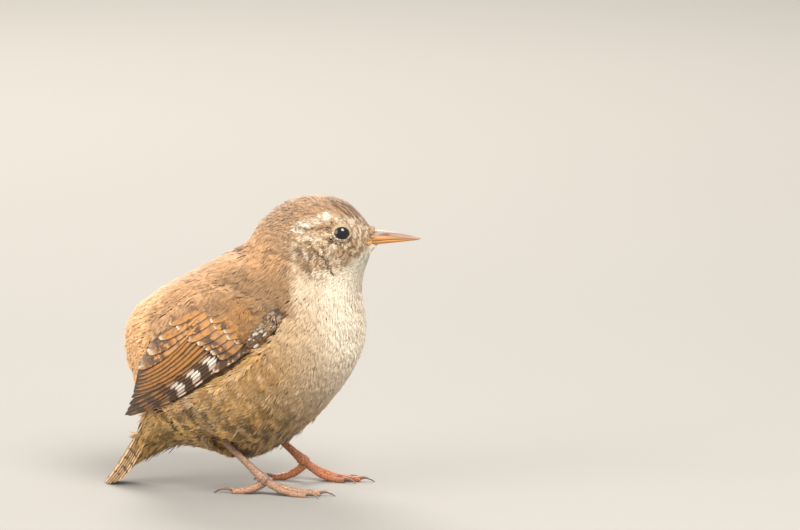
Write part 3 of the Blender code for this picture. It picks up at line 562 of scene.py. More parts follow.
def vane_material(name, edge_tint, bar_period, scatter, plain):
    """Flight feathers: a warm outer web, a dusky inner one, bars, white patches and pale tips."""
    graph = Graph(name, roughness=0.5, specular_ior_level=0.35, sheen_weight=0.15, sheen_roughness=0.4)
    along, across, distance = graph.parts(graph.attribute("vane"))
    white, barring, tipped = graph.parts(graph.attribute("marks"))
    chance, off_shaft = graph.attribute("chance", 2), abs(across)
    wobble, blotch = graph.noise(graph.place(), 500.0), graph.noise(graph.place(), 900.0, 1.0)

    # The warm part of the outer web and its bars
    outer = across.between(0.05, -0.10).most(plain)
    margin = (across + (wobble - 0.5) * 0.5 + (chance - 0.5) * 0.24).between(-0.48, -0.66)
    covert = tipped.between(0.4, 0.7)
    flight = 1.0 - covert
    reached = outer * (plain + (1 - plain) * margin).most(covert * 0.92)
    shift = distance + wobble * 1.3 + chance * bar_period * scatter
    bars = (shift * (2 * math.pi / bar_period)).sine().between(0.15, 0.9) * blotch.between(0.42, 0.54)

    # The white patches of the outer primaries
    along_edge = distance - WHITE_PATCH_PHASE + wobble * 1.2 + chance * 1.7 + across * 0.9
    patches = (along_edge * (2 * math.pi / WHITE_PATCH_PERIOD)).cosine()
    spots, white = (-white).between(0.2, 0.9), white.most(0.0)
    outermost = white.between(1.05, 1.15)
    reach = distance.between(6.0, 11.0)
    reach = reach * distance.between(29.0, 24.5).most(outermost * distance.between(37.0, 33.0))
    strip = across.between(-0.05, -0.25) * (1.0 - outermost * across.between(-0.75, -0.60))

    # The spots of the wing's bend, and a covert's dark dash and pale tip
    speck = off_shaft.between(0.75, 0.25) * along.between(0.40, 0.60) * along.between(1.0, 0.90)
    speck = speck * blotch.between(0.40, 0.54)
    dash = along.between(0.60, 0.70) * along.between(0.92, 0.84) * blotch.between(0.40, 0.50)
    tip = along.between(0.90, 0.98) * blotch.between(0.42, 0.52)
    base = graph.over(
        "dusky",
        (edge_tint, reached * (0.80 + wobble * 0.3)),
        ("scapular", covert * (0.25 + 0.45 * blotch.between(0.42, 0.62))),
        ("back", covert * (off_shaft.between(0.60, 0.95) * 0.18 + 0.20 * chance)),
        ("scapular", reached * flight * chance * 0.45),
        ("dark", flight * (1.0 - plain) * (0.22 + 0.30 * wobble)),
        ("dusky", bars * barring * (0.4 + 0.6 * outer)),
        ("dusky", white.between(0.0, 0.3) * patches.between(0.25, -0.25) * 0.85),
        ("dusky", spots * along.between(0.25, 0.45) * 0.35),
        ("brow", spots * speck * 0.66),
        ("white", white * reach * patches.between(-0.10, 0.55) * strip * (0.75 + blotch * 0.3)),
        ("dusky", covert * dash * chance.between(0.10, 0.5) * 0.85),
        ("brow", covert * tip * 0.6),
        (SHAFT_BROWN, off_shaft.between(0.10, 0.03) * 0.45),
    )
    barbs = ((distance * 7.0 + off_shaft * 9.0) * (2 * math.pi)).sine()
    base = graph.shaded(base, 0.88 + wobble * 0.28 + barbs * 0.08)
    return graph.finish(base, height=barbs * 0.4 + wobble, distance=0.05 * MM, strength=0.6)


def bill_material(name, upper):
    """Horn, dark along the ridge with a painted highlight on its top, orange at the sides, darker at the tip,
    and painted shade in the nostrils.
    """
    graph = Graph(name, specular_ior_level=0.5, coat_roughness=0.2)
    x, _, z = graph.mm(graph.place())
    grain = graph.grain_along(graph.place(), 300.0, 1400.0)
    ridge = z - BILL_ROOT.z / MM + (x - BILL_ROOT.x / MM) * 0.06 + grain * 0.4
    if upper:
        # A painted highlight along the top of the ridge, and painted shade in the nostril's slit.
        ridge_highlight, nostril_shade = ridge.between(0.9, 1.3) * 0.6, near_line(x, z, *NOSTRIL) * 0.8
        marks = ("horn", ridge.between(-0.15, 0.55)), (RIDGE_HIGHLIGHT, ridge_highlight), (NOSTRIL_SHADE, nostril_shade)
    else:
        marks = ((KEEL_YELLOW, ridge.between(-1.7, -2.4)),)
    tip = x.between(BILL_TIP.x / MM - 3.5, BILL_TIP.x / MM)
    base = graph.shaded(graph.over("orange", *marks, (BILL_TIP_BROWN, tip * 0.55)), 0.85 + grain * 0.3)
    return graph.finish(base, grain.between(0.2, 0.8, 0.30, 0.42), grain, 0.05 * MM, 0.35)


def eye_material():
    """Near black, with a dark brown iris round the pupil, seen under a wet cornea."""
    graph = Graph("eye_wet", roughness=0.10, specular_ior_level=0.30, coat_weight=0.35, coat_roughness=0.03)
    off = graph.attribute("off_axis", 2)
    return graph.finish(graph.mix(PUPIL, IRIS, off.between(0.52, 0.60) * off.between(0.95, 0.80)))


def lid_material():
    """Pale yellow above the eye, brown with pale dots below it."""
    graph = Graph("eyelid", roughness=0.55, specular_ior_level=0.4)
    grain = graph.noise(graph.place(), 3500.0)
    above = (graph.mm(graph.place())[2] - EYE_CENTRES["right"].z / MM).between(0.3, 1.2)
    rim = graph.attribute("rim", 2)
    base = graph.mix(paint(112, 86, 62), paint(216, 198, 170), grain.between(0.48, 0.58) * 0.8)
    base = graph.mix(base, paint(160, 144, 110), above * grain.between(0.25, 0.50))
    base = graph.mix(paint(40, 30, 24), base, rim.between(0.02, 0.13))
    return graph.finish(base, height=grain, distance=0.06 * MM, strength=0.8)


def leg_material():
    """Scaly skin: scutes down the front, fine scales below, and the left leg painted warmer as light shining
    through it.
    """
    graph = Graph("leg_scales", specular_ior_level=0.45, coat_weight=0.08, coat_roughness=0.35)
    place = graph.place()
    _, side, height = graph.mm(place)
    blotch = graph.noise(place, 500.0, 3.0)
    sockets = {"Vector": place, "Scale": 1700.0}
    cells = graph.node("ShaderNodeTexVoronoi", {"feature": "DISTANCE_TO_EDGE"}, sockets)
    seams = cells.between(0.02, 0.12) * graph.attribute("scute", 2).between(0.0, 0.25)
    # The left leg's warm orange is painted light shining through it.
    base = graph.over(
        "leg",
        ("warm_leg", side.between(-2.0, 2.0) * 0.9),
        (paint(176, 136, 104), height.between(3.6, 1.6) * side.between(2.0, -2.0) * 0.7),
        (paint(120, 88, 84), blotch.between(0.45, 0.70) * 0.45),
    )
    base = graph.mix(paint(104, 66, 50), base, seams * 0.75 + 0.25)
    return graph.finish(base, blotch.between(0.3, 0.7, 0.38, 0.55), seams + blotch * 0.3, 0.10 * MM, 0.7)


def claw_material():
    graph = Graph("claw_horn", specular_ior_level=0.5, coat_weight=0.2, coat_roughness=0.2)
    grain = graph.grain_along(graph.place(), 500.0, 2500.0)
    height = graph.mm(graph.place())[2]
    base = graph.mix("claw", paint(176, 140, 112), height.between(0.5, 1.3) * 0.4)
    base = graph.shaded(base, 0.8 + grain * 0.4)
    return graph.finish(base, grain.between(0.2, 0.8, 0.25, 0.40), grain, 0.03 * MM, 0.3)


def floor_material():
    graph = Graph("studio_floor", specular_ior_level=0.2)
    cloud = graph.noise(graph.place(), 3.0)
    base = graph.mix("floor", tuple(c * 0.95 for c in tint("floor")), cloud)
    return graph.finish(base, cloud.between(0.0, 1.0, 0.80, 0.88))


def add_piece(name, mesh, material, replaces=()):
    """Puts a finished mesh in the scene as a piece that rides on the bird."""
    obj = bpy.data.objects.new(name, mesh)
    bpy.context.scene.collection.objects.link(obj)
    if not mesh.materials:
        mesh.materials.append(material)
    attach(obj, "root")
    if replaces:
        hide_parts(*replaces)
    return obj


def mesh_from(bm, name):
    bmesh.ops.recalc_face_normals(bm, faces=bm.faces)
    mesh = bpy.data.meshes.new(name)
    bm.to_mesh(mesh)
    bm.free()
    mesh.shade_smooth()
    return mesh


def grid_through(bm, rows):
    """A grid whose points are moved onto rows of places."""
    made = bmesh.ops.create_grid(bm, x_segments=len(rows[0]) - 1, y_segments=len(rows) - 1, size=1.0)["verts"]
    made.sort(key=lambda v: (round(v.co.y, 5), round(v.co.x, 5)))
    for vertex, place in zip(made, (p for row in rows for p in row)):
        vertex.co = place
    return made


def tube_through(bm, rings, facts=()):
    """A closed solid through rings of places. facts gives each ring's points the values of layers."""
    made = grid_through(bm, [[*ring, ring[0]] for ring in rings])
    for layer, rows in facts:
        values = (v for row in rows for v in (*row, row[0]))
        for vertex, value in zip(made, values):
            vertex[layer] = value
    bmesh.ops.remove_doubles(bm, verts=made, dist=1e-7)
    made = [v for v in made if v.is_valid]
    open_edges = {e for v in made for e in v.link_edges if e.is_boundary}
    bmesh.ops.holes_fill(bm, edges=list(open_edges), sides=0)
    return made


def step(value, start, end):
    """A soft step from 0 to 1 on numbers or arrays."""
    t = np.clip((value - start) / (end - start), 0.0, 1.0)
    return t * t * (3 - 2 * t)


def unit(vectors):
    return vectors / np.maximum(np.linalg.norm(vectors, axis=-1, keepdims=True), 1e-12)


class Lie:
    """The way the coat lies: from the bill back over the body to the tail, and out round the eyes."""

    def __init__(self):
        knots = [BILL_ROOT + Vector((3 * MM, 0, 0)), *(middle(n) for n in FLESH), middle("tail"), TAIL_TIP]
        knots = np.array([(k.x, 0.0, k.z) for k in knots])
        share = np.linspace(0, len(knots) - 1.001, 240)
        low = share.astype(int)
        t = (share - low)[:, None]
        before, after = np.maximum(low - 1, 0), np.minimum(low + 2, len(knots) - 1)
        start, end = knots[low], knots[low + 1]
        slope0, slope1 = (end - knots[before]) / 2, (knots[after] - start) / 2
        self.line = (
            (2 * t**3 - 3 * t**2 + 1) * start + (t**3 - 2 * t**2 + t) * slope0
            + (3 * t**2 - 2 * t**3) * end + (t**3 - t**2) * slope1
        )
        self.along = unit(np.gradient(self.line, axis=0))

    def nearest(self, places):
        return np.argmin(((places[:, None, :] - self.line[None]) ** 2).sum(-1), axis=1)

    def outward(self, places):
        """Straight out from the body's middle line."""
        near = self.nearest(places)
        return unit(places - self.line[near])

    def direction(self, places, normals):
        flow = self.along[self.nearest(places)]
        for centre in EYE_CENTRES.values():
            away = places - np.array(centre)
            distance = np.linalg.norm(away, axis=1, keepdims=True)
            flow = flow + unit(away) * 1.6 * (1 - step(distance, 2.4 * MM, 4.4 * MM))
        flow = flow - normals * (flow * normals).sum(1, keepdims=True)
        return unit(flow)

    def unwrapped(self, places):
        """The skin laid flat: along the middle line, and the angle round it."""
        near = self.nearest(places)
        off = places - self.line[near]
        up = np.cross(np.array((0.0, 1.0, 0.0)), self.along[near])
        angle = np.arctan2(off[:, 1], (off * up).sum(1))
        return np.stack((near / len(self.line), angle / (2 * math.pi) + 0.5), axis=1)


def wing_share(place):
    """How far a place lies along the wing from its bend, and up from its lower edge."""
    along = (WING_TIP - WING_BEND).normalized()
    off = Vector(place) - WING_BEND
    return off.x * along.x + off.z * along.z, off.x * along.z - off.z * along.x


def from_eyes(places):
    return np.min([np.linalg.norm(places - np.array(c), axis=1) for c in EYE_CENTRES.values()], axis=0)


def gape_path(side):
    """Places on the head's surface from the bill back along the corner of the mouth."""
    head = tree_of([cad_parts["head"].data])
    start, end = Vector((25.2, side * 1.25, 56.0)) * MM, Vector((22.7, side * 4.4, 55.6)) * MM
    return [head.find_nearest(start.lerp(end, t / GAPE_STEPS))[0] for t in range(GAPE_STEPS + 1)]


def from_gape(places):
    points = np.array([p for side in SIDES.values() for p in gape_path(side)])
    return np.linalg.norm(places[:, None] - points[None], axis=2).min(1)


def from_shank(places):
    """Distance from the shank that shows in front of the belly."""
    ball, heel = (np.array(LEGS["right"][end]) * MM for end in ("ball", "heel"))
    share = np.clip(((places - ball) @ (heel - ball)) / ((heel - ball) @ (heel - ball)), 0.0, 1.0)
    return np.linalg.norm(places - ball - share[:, None] * (heel - ball), axis=1)


def depth_at(places):
    """How deep the skin lies under the coat: least on the face and at the tip under the tail."""
    sizes = bpy.context.scene.wren_sizes
    face = step(np.linalg.norm(places - np.array(BILL_ROOT), axis=1), 1.5 * MM, 17 * MM)
    face *= step(from_eyes(places), 2.7 * MM, 6.0 * MM)
    rear = step(np.linalg.norm(places - np.array(UNDER_TAIL_TIP), axis=1), 1.0 * MM, 12 * MM)
    deep = sizes.face_depth + (sizes.coat_depth - sizes.face_depth) * face
    return deep * (0.35 + 0.65 * rear) * (0.35 + 0.65 * step(from_shank(places), 1.5 * MM, 5.0 * MM))


def length_at(places):
    sizes = bpy.context.scene.wren_sizes
    grow = step(np.linalg.norm(places - np.array(BILL_ROOT), axis=1), 1.0 * MM, 26 * MM)
    grow *= 0.25 + 0.75 * step(from_eyes(places), 2.6 * MM, 6.5 * MM)
    rear = step(np.linalg.norm(places - np.array(UNDER_TAIL_TIP), axis=1), 1.0 * MM, 12 * MM)
    length = (sizes.face_feather + (sizes.body_feather - sizes.face_feather) * grow) * (0.6 + 0.4 * rear)
    return length * (0.40 + 0.60 * step(from_shank(places), 1.5 * MM, 6.0 * MM))


def skin_mesh():
    """The flesh nodes as one closed surface, smoothed and drawn in by the coat's depth."""
    sizes = bpy.context.scene.wren_sizes
    bm = bmesh.new()
    for name in FLESH:
        bm.from_mesh(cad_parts[name].data)
    bmesh.ops.remove_doubles(bm, verts=bm.verts, dist=1e-6)
    bm.normal_update()
    for vertex in bm.verts:
        vertex.co += vertex.normal * GAP_CLOSING * MM
    mesh = bpy.data.meshes.new("skin")
    bm.to_mesh(mesh)
    bm.free()
    obj = bpy.data.objects.new("skin_source", mesh)
    bpy.context.scene.collection.objects.link(obj)
    remesh = obj.modifiers.new("one_surface", "REMESH")
    remesh.mode = "VOXEL"
    remesh.voxel_size = sizes.voxel
    graph = bpy.context.evaluated_depsgraph_get()
    bm = bmesh.new()
    bm.from_mesh(obj.evaluated_get(graph).data)
    bpy.data.objects.remove(obj)
    smooth(bm, 5)
    bm.normal_update()
    places = np.array([v.co for v in bm.verts])
    crease = np.hypot(places[:, 0] - NAPE_CREASE.x, places[:, 2] - NAPE_CREASE.z)
    drawn_in = depth_at(places) + SKIN_CLEARANCE + CREASE_DEPTH * (1 - step(crease, 0.3 * MM, 4.6 * MM))
    for vertex, depth in zip(bm.verts, drawn_in):
        vertex.co -= vertex.normal * depth
    smooth(bm, 3)
    return mesh_from(bm, "skin")


def smooth(bm, times):
    for _ in range(times):
        bmesh.ops.smooth_vert(
            bm, verts=bm.verts, factor=0.5, use_axis_x=True, use_axis_y=True, use_axis_z=True
        )


def tree_of(meshes):
    places, faces = [], []
    for mesh in meshes:
        start = len(places)
        places += [v.co.copy() for v in mesh.vertices]
        faces += [tuple(start + i for i in p.vertices) for p in mesh.polygons]
    return BVHTree.FromPolygons(places, faces)


class Feather:
    """The pattern of one small feather: a closed blade at its root and closed tapered barbs in a fan."""

    def __init__(self, barbs, loose):
        self.points, self.faces, self.strand, self.tip = [], [], [], []
        self.barbs = 2 * barbs
        self.blade(((0.28, 0.50), (0.52, 0.60)), 0.70)
        for i in range(self.barbs):
            self.barb(2 * (i + 0.5) / self.barbs - 1, loose, 0.95 / self.barbs, i)
        self.points, self.faces = np.array(self.points), np.array(self.faces)
        self.strand, self.tip = np.array(self.strand), np.array(self.tip)

    def add(self, points, faces, strand, tips):
        start = len(self.points)
        self.points += points
        self.faces += [tuple(start + i for i in face) for face in faces]
        self.strand += [strand] * len(points)
        self.tip += tips

    def blade(self, stations, end):
        points = [(0.0, 0.0, 0.0)]
        for along, wide in stations:
            points += [(along, -wide, 0.0), (along, wide, 0.0), (along, 0.0, 1.0)]
        points.append((end, 0.0, 0.0))
        faces = [(0, 2, 1), (0, 1, 3), (0, 3, 2)]
        faces += [(1, 2, 5), (1, 5, 4), (2, 3, 6), (2, 6, 5), (3, 1, 4), (3, 4, 6)]
        faces += [(4, 5, 7), (5, 6, 7), (6, 4, 7)]
        self.add(points, faces, self.barbs, [0.0] * len(points))

    def barb(self, spread, loose, width, strand):
        """One barb, widest near its tip, that ends at the given part of the feather's half width."""
        end = 1.0 - 0.24 * spread * spread
        start, wide_at = end - loose, end - 0.15
        middle_line = 0.9 * spread
        points = [(start, 0.45 * spread, 0.2)]
        points += [(wide_at, middle_line - width, 0.2), (wide_at, middle_line + width, 0.2)]
        points += [(wide_at, middle_line, 1.2), (end, spread, 0.5)]
        faces = [(0, 2, 1), (0, 1, 3), (0, 3, 2), (1, 2, 4), (2, 3, 4), (3, 1, 4)]
        self.add(points, faces, strand, [0.0, 0.8, 0.8, 0.8, 1.0])


class Coat:
    """Feathers to be set: three places and normals down each shaft, a width and a chance number."""

    def __init__(self, lie, seed):
        self.lie, self.random = lie, np.random.default_rng(seed)
        self.shafts, self.normals, self.widths, self.chances = [], [], [], []

    def add(self, shaft, normals, width):
        self.shafts.append(shaft)
        self.normals.append(normals)
        self.widths.append(width)
        self.chances.append(self.random.random())

    def tuft(self, root, way, out, rise, width, end_rise=0.0, sunk=0.0):
        """A short feather along way on a surface that faces out: sunk at its root, rise high halfway."""
        shaft = [root - out * sunk, root + way * 0.5 + out * rise, root + way + out * end_rise]
        self.add(np.array(shaft), np.array([out, out]), width)

    def drop(self):
        for facts in (self.shafts, self.normals, self.widths, self.chances):
            facts.pop()

    def mesh(self, name, pattern, thickness, droop):
        """All feathers as one mesh of closed blades and barbs."""
        shafts, normals = np.array(self.shafts), unit(np.array(self.normals))
        widths = np.array(self.widths)[:, None, None]
        count, points = len(shafts), len(pattern.points)
        tone = self.random.random((count, pattern.barbs + 1))
        tone[:, -1] = 0.5
        bend = self.random.normal(0, 1, (count, pattern.barbs + 1))
        tip, strand = pattern.tip[None], pattern.strand
        along = pattern.points[None, :, 0] - tip * RAGGED * tone[:, strand[::-1]] ** 1.5
        across = pattern.points[None, :, 1] + tip * 0.09 * bend[:, strand]
        s = along[..., None]
        root, centre, end = (shafts[:, i, None, :] for i in range(3))
        place = root * (1 - s) * (1 - 2 * s) + centre * 4 * s * (1 - s) + end * s * (2 * s - 1)
        way = root * (4 * s - 3) + centre * (4 - 8 * s) + end * (4 * s - 1)
        normal = unit(normals[:, 0, None] * (1 - s) + normals[:, 1, None] * s)
        side = unit(np.cross(normal, way))
        height = pattern.points[None, :, 2, None] * thickness - droop * widths * across[..., None] ** 2
        height = height + tip[..., None] * 0.035 * MM * bend[:, strand, None]
        place = place + side * across[..., None] * widths + normal * height
        mesh = bpy.data.meshes.new(name)
        corners = (pattern.faces[None] + (np.arange(count) * points)[:, None, None]).reshape(-1)
        mesh.vertices.add(count * points)
        mesh.vertices.foreach_set("co", place.reshape(-1).astype(np.float32))
        mesh.loops.add(len(corners))
        mesh.loops.foreach_set("vertex_index", corners.astype(np.int32))
        mesh.polygons.add(len(corners) // 3)
        mesh.polygons.foreach_set("loop_start", np.arange(0, len(corners), 3, dtype=np.int32))
        mesh.update(calc_edges=True)
        spots = np.repeat(shafts[:, 1] * 0.35 + shafts[:, 2] * 0.65, points, axis=0)
        facts = np.stack((along, across, tone[:, strand]), axis=-1)
        soft = unit(np.broadcast_to(normal, place.shape)).reshape(-1, 3)
        own = vertex_values(mesh, "normal")
        mesh.normals_split_custom_set_from_vertices(unit(own * (1 - SOFTNESS) + soft * SOFTNESS))
        self.store(mesh, "spot", "FLOAT_VECTOR", "vector", spots)
        self.store(mesh, "feather", "FLOAT_VECTOR", "vector", facts)
        self.store(mesh, "chance", "FLOAT", "value", np.repeat(self.chances, points))
        patch = self.lie.unwrapped(shafts[:, 0])[:, None] + np.stack((along, across * 0.5 + 0.5), -1) * 0.003
        flat = mesh.uv_layers.new(name="OFBake")
        flat.uv.foreach_set("vector", patch.reshape(-1, 2)[corners].reshape(-1).astype(np.float32))
        return mesh

    @staticmethod
    def store(mesh, name, kind, field, values):
        layer = mesh.attributes.new(name, kind, "POINT")
        layer.data.foreach_set(field, np.asarray(values, dtype=np.float32).reshape(-1))


def vertex_values(mesh, field):
    values = np.zeros(len(mesh.vertices) * 3)
    mesh.vertices.foreach_get(field, values)
    return values.reshape(-1, 3)


def scattered(mesh, spacing_at, wanted, seed):
    """Points spread evenly over a mesh, nearer together where spacing_at is less, with normals."""
    rng = np.random.default_rng(seed)
    mesh.calc_loop_triangles()
    corners = np.array([t.vertices for t in mesh.loop_triangles])
    tri, tri_normal = vertex_values(mesh, "co")[corners], vertex_values(mesh, "normal")[corners]
    area = np.linalg.norm(np.cross(tri[:, 1] - tri[:, 0], tri[:, 2] - tri[:, 0]), axis=1)
    weight = area / spacing_at(tri.mean(1)) ** 2 * wanted(tri.mean(1), tri_normal.mean(1))
    tries = int(weight.sum() * 1.9)
    picked = rng.choice(len(tri), tries, p=weight / weight.sum())
    u, v = rng.random((2, tries, 1))
    u, v = np.where(u + v > 1, 1 - u, u), np.where(u + v > 1, 1 - v, v)
    places = tri[picked, 0] * (1 - u - v) + tri[picked, 1] * u + tri[picked, 2] * v
    normals = unit(tri_normal[picked].mean(1))
    spacing = spacing_at(places)
    tree = kdtree.KDTree(tries)
    for i, place in enumerate(places):
        tree.insert(place, i)
    tree.balance()
    taken, keep = np.zeros(tries, bool), []
    for i in range(tries):
        if not taken[i]:
            keep.append(i)
            for _, near, _ in tree.find_range(places[i], spacing[i]):
                taken[near] = True
    return places[keep], normals[keep]


def laid_feather(coat, place, normal, cover, body, length, depth, swirl, stand=1.0):
    """Lays a feather from its root over the covered surface, bending with it, and closely over the wing."""
    way = Vector(coat.lie.direction(np.array([place]), np.array([normal]))[0])
    way.rotate(Matrix.Rotation(swirl, 3, Vector(normal)))
    ruffled = coat.random.random() < (0.08 if place[0] < -20 * MM or normal[2] < -0.50 else 0.0)
    normal, lift = Vector(normal), 0.88 + (0.55 if ruffled else 0.18) * coat.random.random()
    points, outs, here = [Vector(place) - normal * 0.15 * MM], [normal], Vector(place)
    for share, height in ((0.5, 0.55), (0.5, 1.0)):
        ahead = here + way * length * share + normal * 0.4 * depth
        near = cover.find_nearest(ahead)[0]
        out = Vector(coat.lie.outward(np.array([near]))[0])
        out = (out + normal).normalized()
        on_wing = (near - body.find_nearest(near)[0]).length > 0.5 * MM
        close = 0.35 + 0.28 * float(step(wing_share(near)[1], 3.5 * MM, 6.0 * MM)) if on_wing else 1.0
        points.append(near + out * depth * height * lift * close * stand)
        if len(points) == 3 and (points[2] - points[1]).normalized().dot(way) < 0.75:
            points[2] = points[1] + (way + (points[2] - points[1]).normalized()).normalized() * length * 0.5
        way = (points[-1] - points[-2]).normalized()
        normal, here = out, near
    coat.add(np.array(points), np.array([outs[0], normal]), length)


def lid_opening(angle):
    """Half the width of the lids' opening in mm, at an angle from straight ahead."""
    return 1.66 - 0.28 * math.sin(angle) ** 2 - 0.08 * max(0.0, math.sin(angle))


def eye_axes(side):
    """An eye's axis out of the head, and the directions ahead and above it on the face."""
    outward = Vector((0.30, side, 0.16)).normalized()
    ahead = (Vector((1, 0, 0)) - outward * outward.x).normalized()
    above = outward.cross(ahead) * side
    if above.z < 0:
        above.negate()
    return outward, ahead, above


class WREN_OT_coat(bpy.types.Operator):
    """Skin over the flesh nodes, and the feathers of head, neck, back, breast, flanks and rump"""

    bl_idname = "wren.coat"
    bl_label = "Skin and coat"

    def execute(self, context):
        sizes = context.scene.wren_sizes
        lie = Lie()
        skin = skin_mesh()
        add_piece("skin", skin, plumage_material("skin_plumage", False), FLESH)
        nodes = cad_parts
        wings = tree_of([nodes["wing_left"].data, nodes["wing_right"].data])
        cover = tree_of([skin, *(nodes[n].data for n in ("wing_left", "wing_right", "tail"))])
        under_wing = tree_of([skin, nodes["tail"].data])

        def wanted(places, normals):
            clear = (from_eyes(places) > EYE_CLEAR) & (from_gape(places) > GAPE_CLEAR)
            for i in np.flatnonzero(clear):
                start = Vector(places[i]) + Vector(normals[i]) * 0.1 * MM
                clear[i] = wings.ray_cast(start, Vector(normals[i]), WING_CLEAR)[0] is None
            return clear

        def spacing(places):
            return SPACING_SHARE * length_at(places) + SPACING_LEAST

        places, normals = scattered(skin, spacing, wanted, 5)
        lengths, depths = length_at(places), depth_at(places)
        coats = {}
        for place, normal, length, depth in zip(places, normals, lengths, depths):
            where = self.region(place)
            side = "left" if place[1] > 0 else "right"
            key = (where + "_" + side, "short" if length < LONGEST_SHORT else "long")
            if key not in coats:
                coats[key] = Coat(lie, len(coats))
            swirl = SWIRL * noise.noise(Vector(place) / SWIRL_SIZE)
            over = cover if wing_share(place)[0] < 6.5 * MM else under_wing
            laid_feather(coats[key], place, normal, over, under_wing, length, depth, swirl)
            tip = Vector(coats[key].shafts[-1][2])
            a, b = (share / MM for share in wing_share(tip))
            over_bend = abs(a - BEND_SPOTS[0]) < 2.4 and abs(b - BEND_SPOTS[1]) < 1.05
            if over_bend and (tip - under_wing.find_nearest(tip)[0]).length > 1.2 * MM:
                coats[key].drop()
        self.wisps(coats, lie, places, normals, lengths, depths, under_wing)
        for label, side in SIDES.items():
            face = coats["head_" + label, "short"]
            self.eyelid_feathers(face, EYE_CENTRES[label], side)
            self.bill_feathers(face, side)
            self.thigh_feathers(coats["belly_" + label, "long"], LEGS[label])
        material = plumage_material("feather_plumage", True)
        # Each kind's pattern, and its half width as a share of its length
        kinds = {
            "short": (Feather(sizes.face_barbs, 0.50), 0.32),
            "long": (Feather(sizes.body_barbs, 0.42), 0.27),
            "wisps": (Feather(2, 0.80), 0.042),
        }
        for (where, kind), coat in coats.items():
            pattern, width = kinds[kind]
            coat.widths = [w * width for w in coat.widths]
            name = f"coat_{where}_{kind}"
            add_piece(name, coat.mesh(name, pattern, FEATHER_THICKNESS, FEATHER_DROOP), material)
        return {"FINISHED"}

    @staticmethod
    def wisps(coats, lie, places, normals, lengths, depths, body):
        """Narrow loose locks that stand off the rump, the belly and the flanks."""
        rng = np.random.default_rng(77)
        fluffed = np.maximum(step(-places[:, 0], 14 * MM, 28 * MM), step(-places[:, 2], -24 * MM, -10 * MM))
        chosen = rng.random(len(places)) < 0.70 * fluffed * (lengths > 3.4 * MM)
        for i in np.flatnonzero(chosen):
            key = ("fluff_left" if places[i][1] > 0 else "fluff_right", "wisps")
            if key not in coats:
                coats[key] = Coat(lie, 90 + len(coats))
            length, swirl = lengths[i] * rng.uniform(0.9, 1.3), rng.normal(0.0, 0.30)
            stand = rng.uniform(1.05, 1.25 + 0.55 * fluffed[i])
            laid_feather(coats[key], places[i], normals[i], body, body, length, depths[i], swirl, stand)

    @staticmethod
    def eyelid_feathers(coat, centre, side):
        """Rings of tiny feathers that lie out and back from the rim of the lids."""
        outward, ahead, above = eye_axes(side)
        for ring, (gap, count) in enumerate(((0.44, 36), (0.64, 34), (0.88, 32), (1.15, 32))):
            for i in range(count):
                angle = 2 * math.pi * (i + 0.5 * ring) / count
                spoke = ahead * math.cos(angle) + above * math.sin(angle)
                reach = lid_opening(angle) + gap - 0.08 * math.sin(angle) + 0.08 * coat.random.random()
                rise = 1.72 - (reach * reach - 2.9) / 14.0
                root = centre + (spoke * reach + outward * rise) * MM
                way = spoke * 0.9 - ahead * (0.35 + 0.4 * coat.random.random()) - outward * 0.20
                way = way.normalized() * (0.75 + 0.35 * coat.random.random()) * MM
                coat.tuft(root, way, outward, 0.10 * MM, way.length, 0.04 * MM)

    @staticmethod
    def bill_feathers(coat, side):
        """Short feathers that lie forward over the bill's root, but leave the corner of the mouth bare."""
        for _ in range(BILL_ROOT_FEATHERS):
            angle = math.pi * (coat.random.random() - 0.5)
            if -0.75 < angle < -0.15:
                continue
            spoke = Vector((0, side * math.cos(angle), math.sin(angle)))
            back = 1.0 * coat.random.random() * MM
            high = 1.98 if angle > 0 else 1.85
            root = Vector((24.5 * MM - back, 0, BILL_ROOT.z))
            root += Vector((0, spoke.y * 1.75, spoke.z * high)) * MM
            length = (0.9 + 0.6 * coat.random.random()) * MM
            way = (Vector((1, 0, 0)) - spoke * 0.22).normalized() * length
            coat.tuft(root, way, spoke, 0.06 * MM, length * 0.8)
        for _ in range(CHIN_FEATHERS):
            share = coat.random.random()
            aside = side * (0.1 + 1.9 * coat.random.random())
            root = Vector((23.2 - 0.7 * share, aside, 55.2 - 2.4 * share)) * MM
            out = Vector((0.45, side * 0.75, -0.30 + 0.2 * share)).normalized()
            length = (2.6 - 1.4 * share + 0.5 * coat.random.random()) * MM
            inward = -0.12 * aside + 0.2 * (coat.random.random() - 0.5)
            way = Vector((1, inward, 0.08)).normalized() * length
            coat.tuft(root, way, out, 0.12 * MM, length * 0.5, sunk=0.3 * MM)

    @staticmethod
    def thigh_feathers(coat, foot):
        """A cuff of feathers that narrows down the shank from where it leaves the belly."""
        ball, heel = Vector(foot["ball"]) * MM, Vector(foot["heel"]) * MM
        down = (ball - heel).normalized()
        across = Vector((down.z, 0, -down.x)).normalized()
        for ring, (share, wide) in enumerate(((0.0, 2.0), (0.05, 1.7), (0.10, 1.3))):
            start = heel.lerp(ball, foot["cuff"] + share)
            for i in range(CUFF_FEATHERS):
                angle = 2 * math.pi * (i + 0.5 * ring) / CUFF_FEATHERS
                spoke = across * math.cos(angle) + down.cross(across) * math.sin(angle)
                root = start + spoke * wide * MM
                length = (1.8 + 0.9 * coat.random.random()) * MM
                way = (down - spoke * 0.30).normalized() * length
                coat.tuft(root, way, spoke, 0.20 * MM, length)

    @staticmethod
    def region(place):
        """The part of the bird at a place, with the wing's bend between the upper and the lower parts."""
        x, z = place[0] / MM, place[2] / MM
        upper = z > BEND_Z + 0.77 * (x - BEND_X)
        if headwards(x, z) > 34.0:
            return "head" if headwards(x, z) > 46.5 else "neck" if upper else "breast"
        if upper:
            return "back"
        return "belly" if x > -6.0 else "rump"


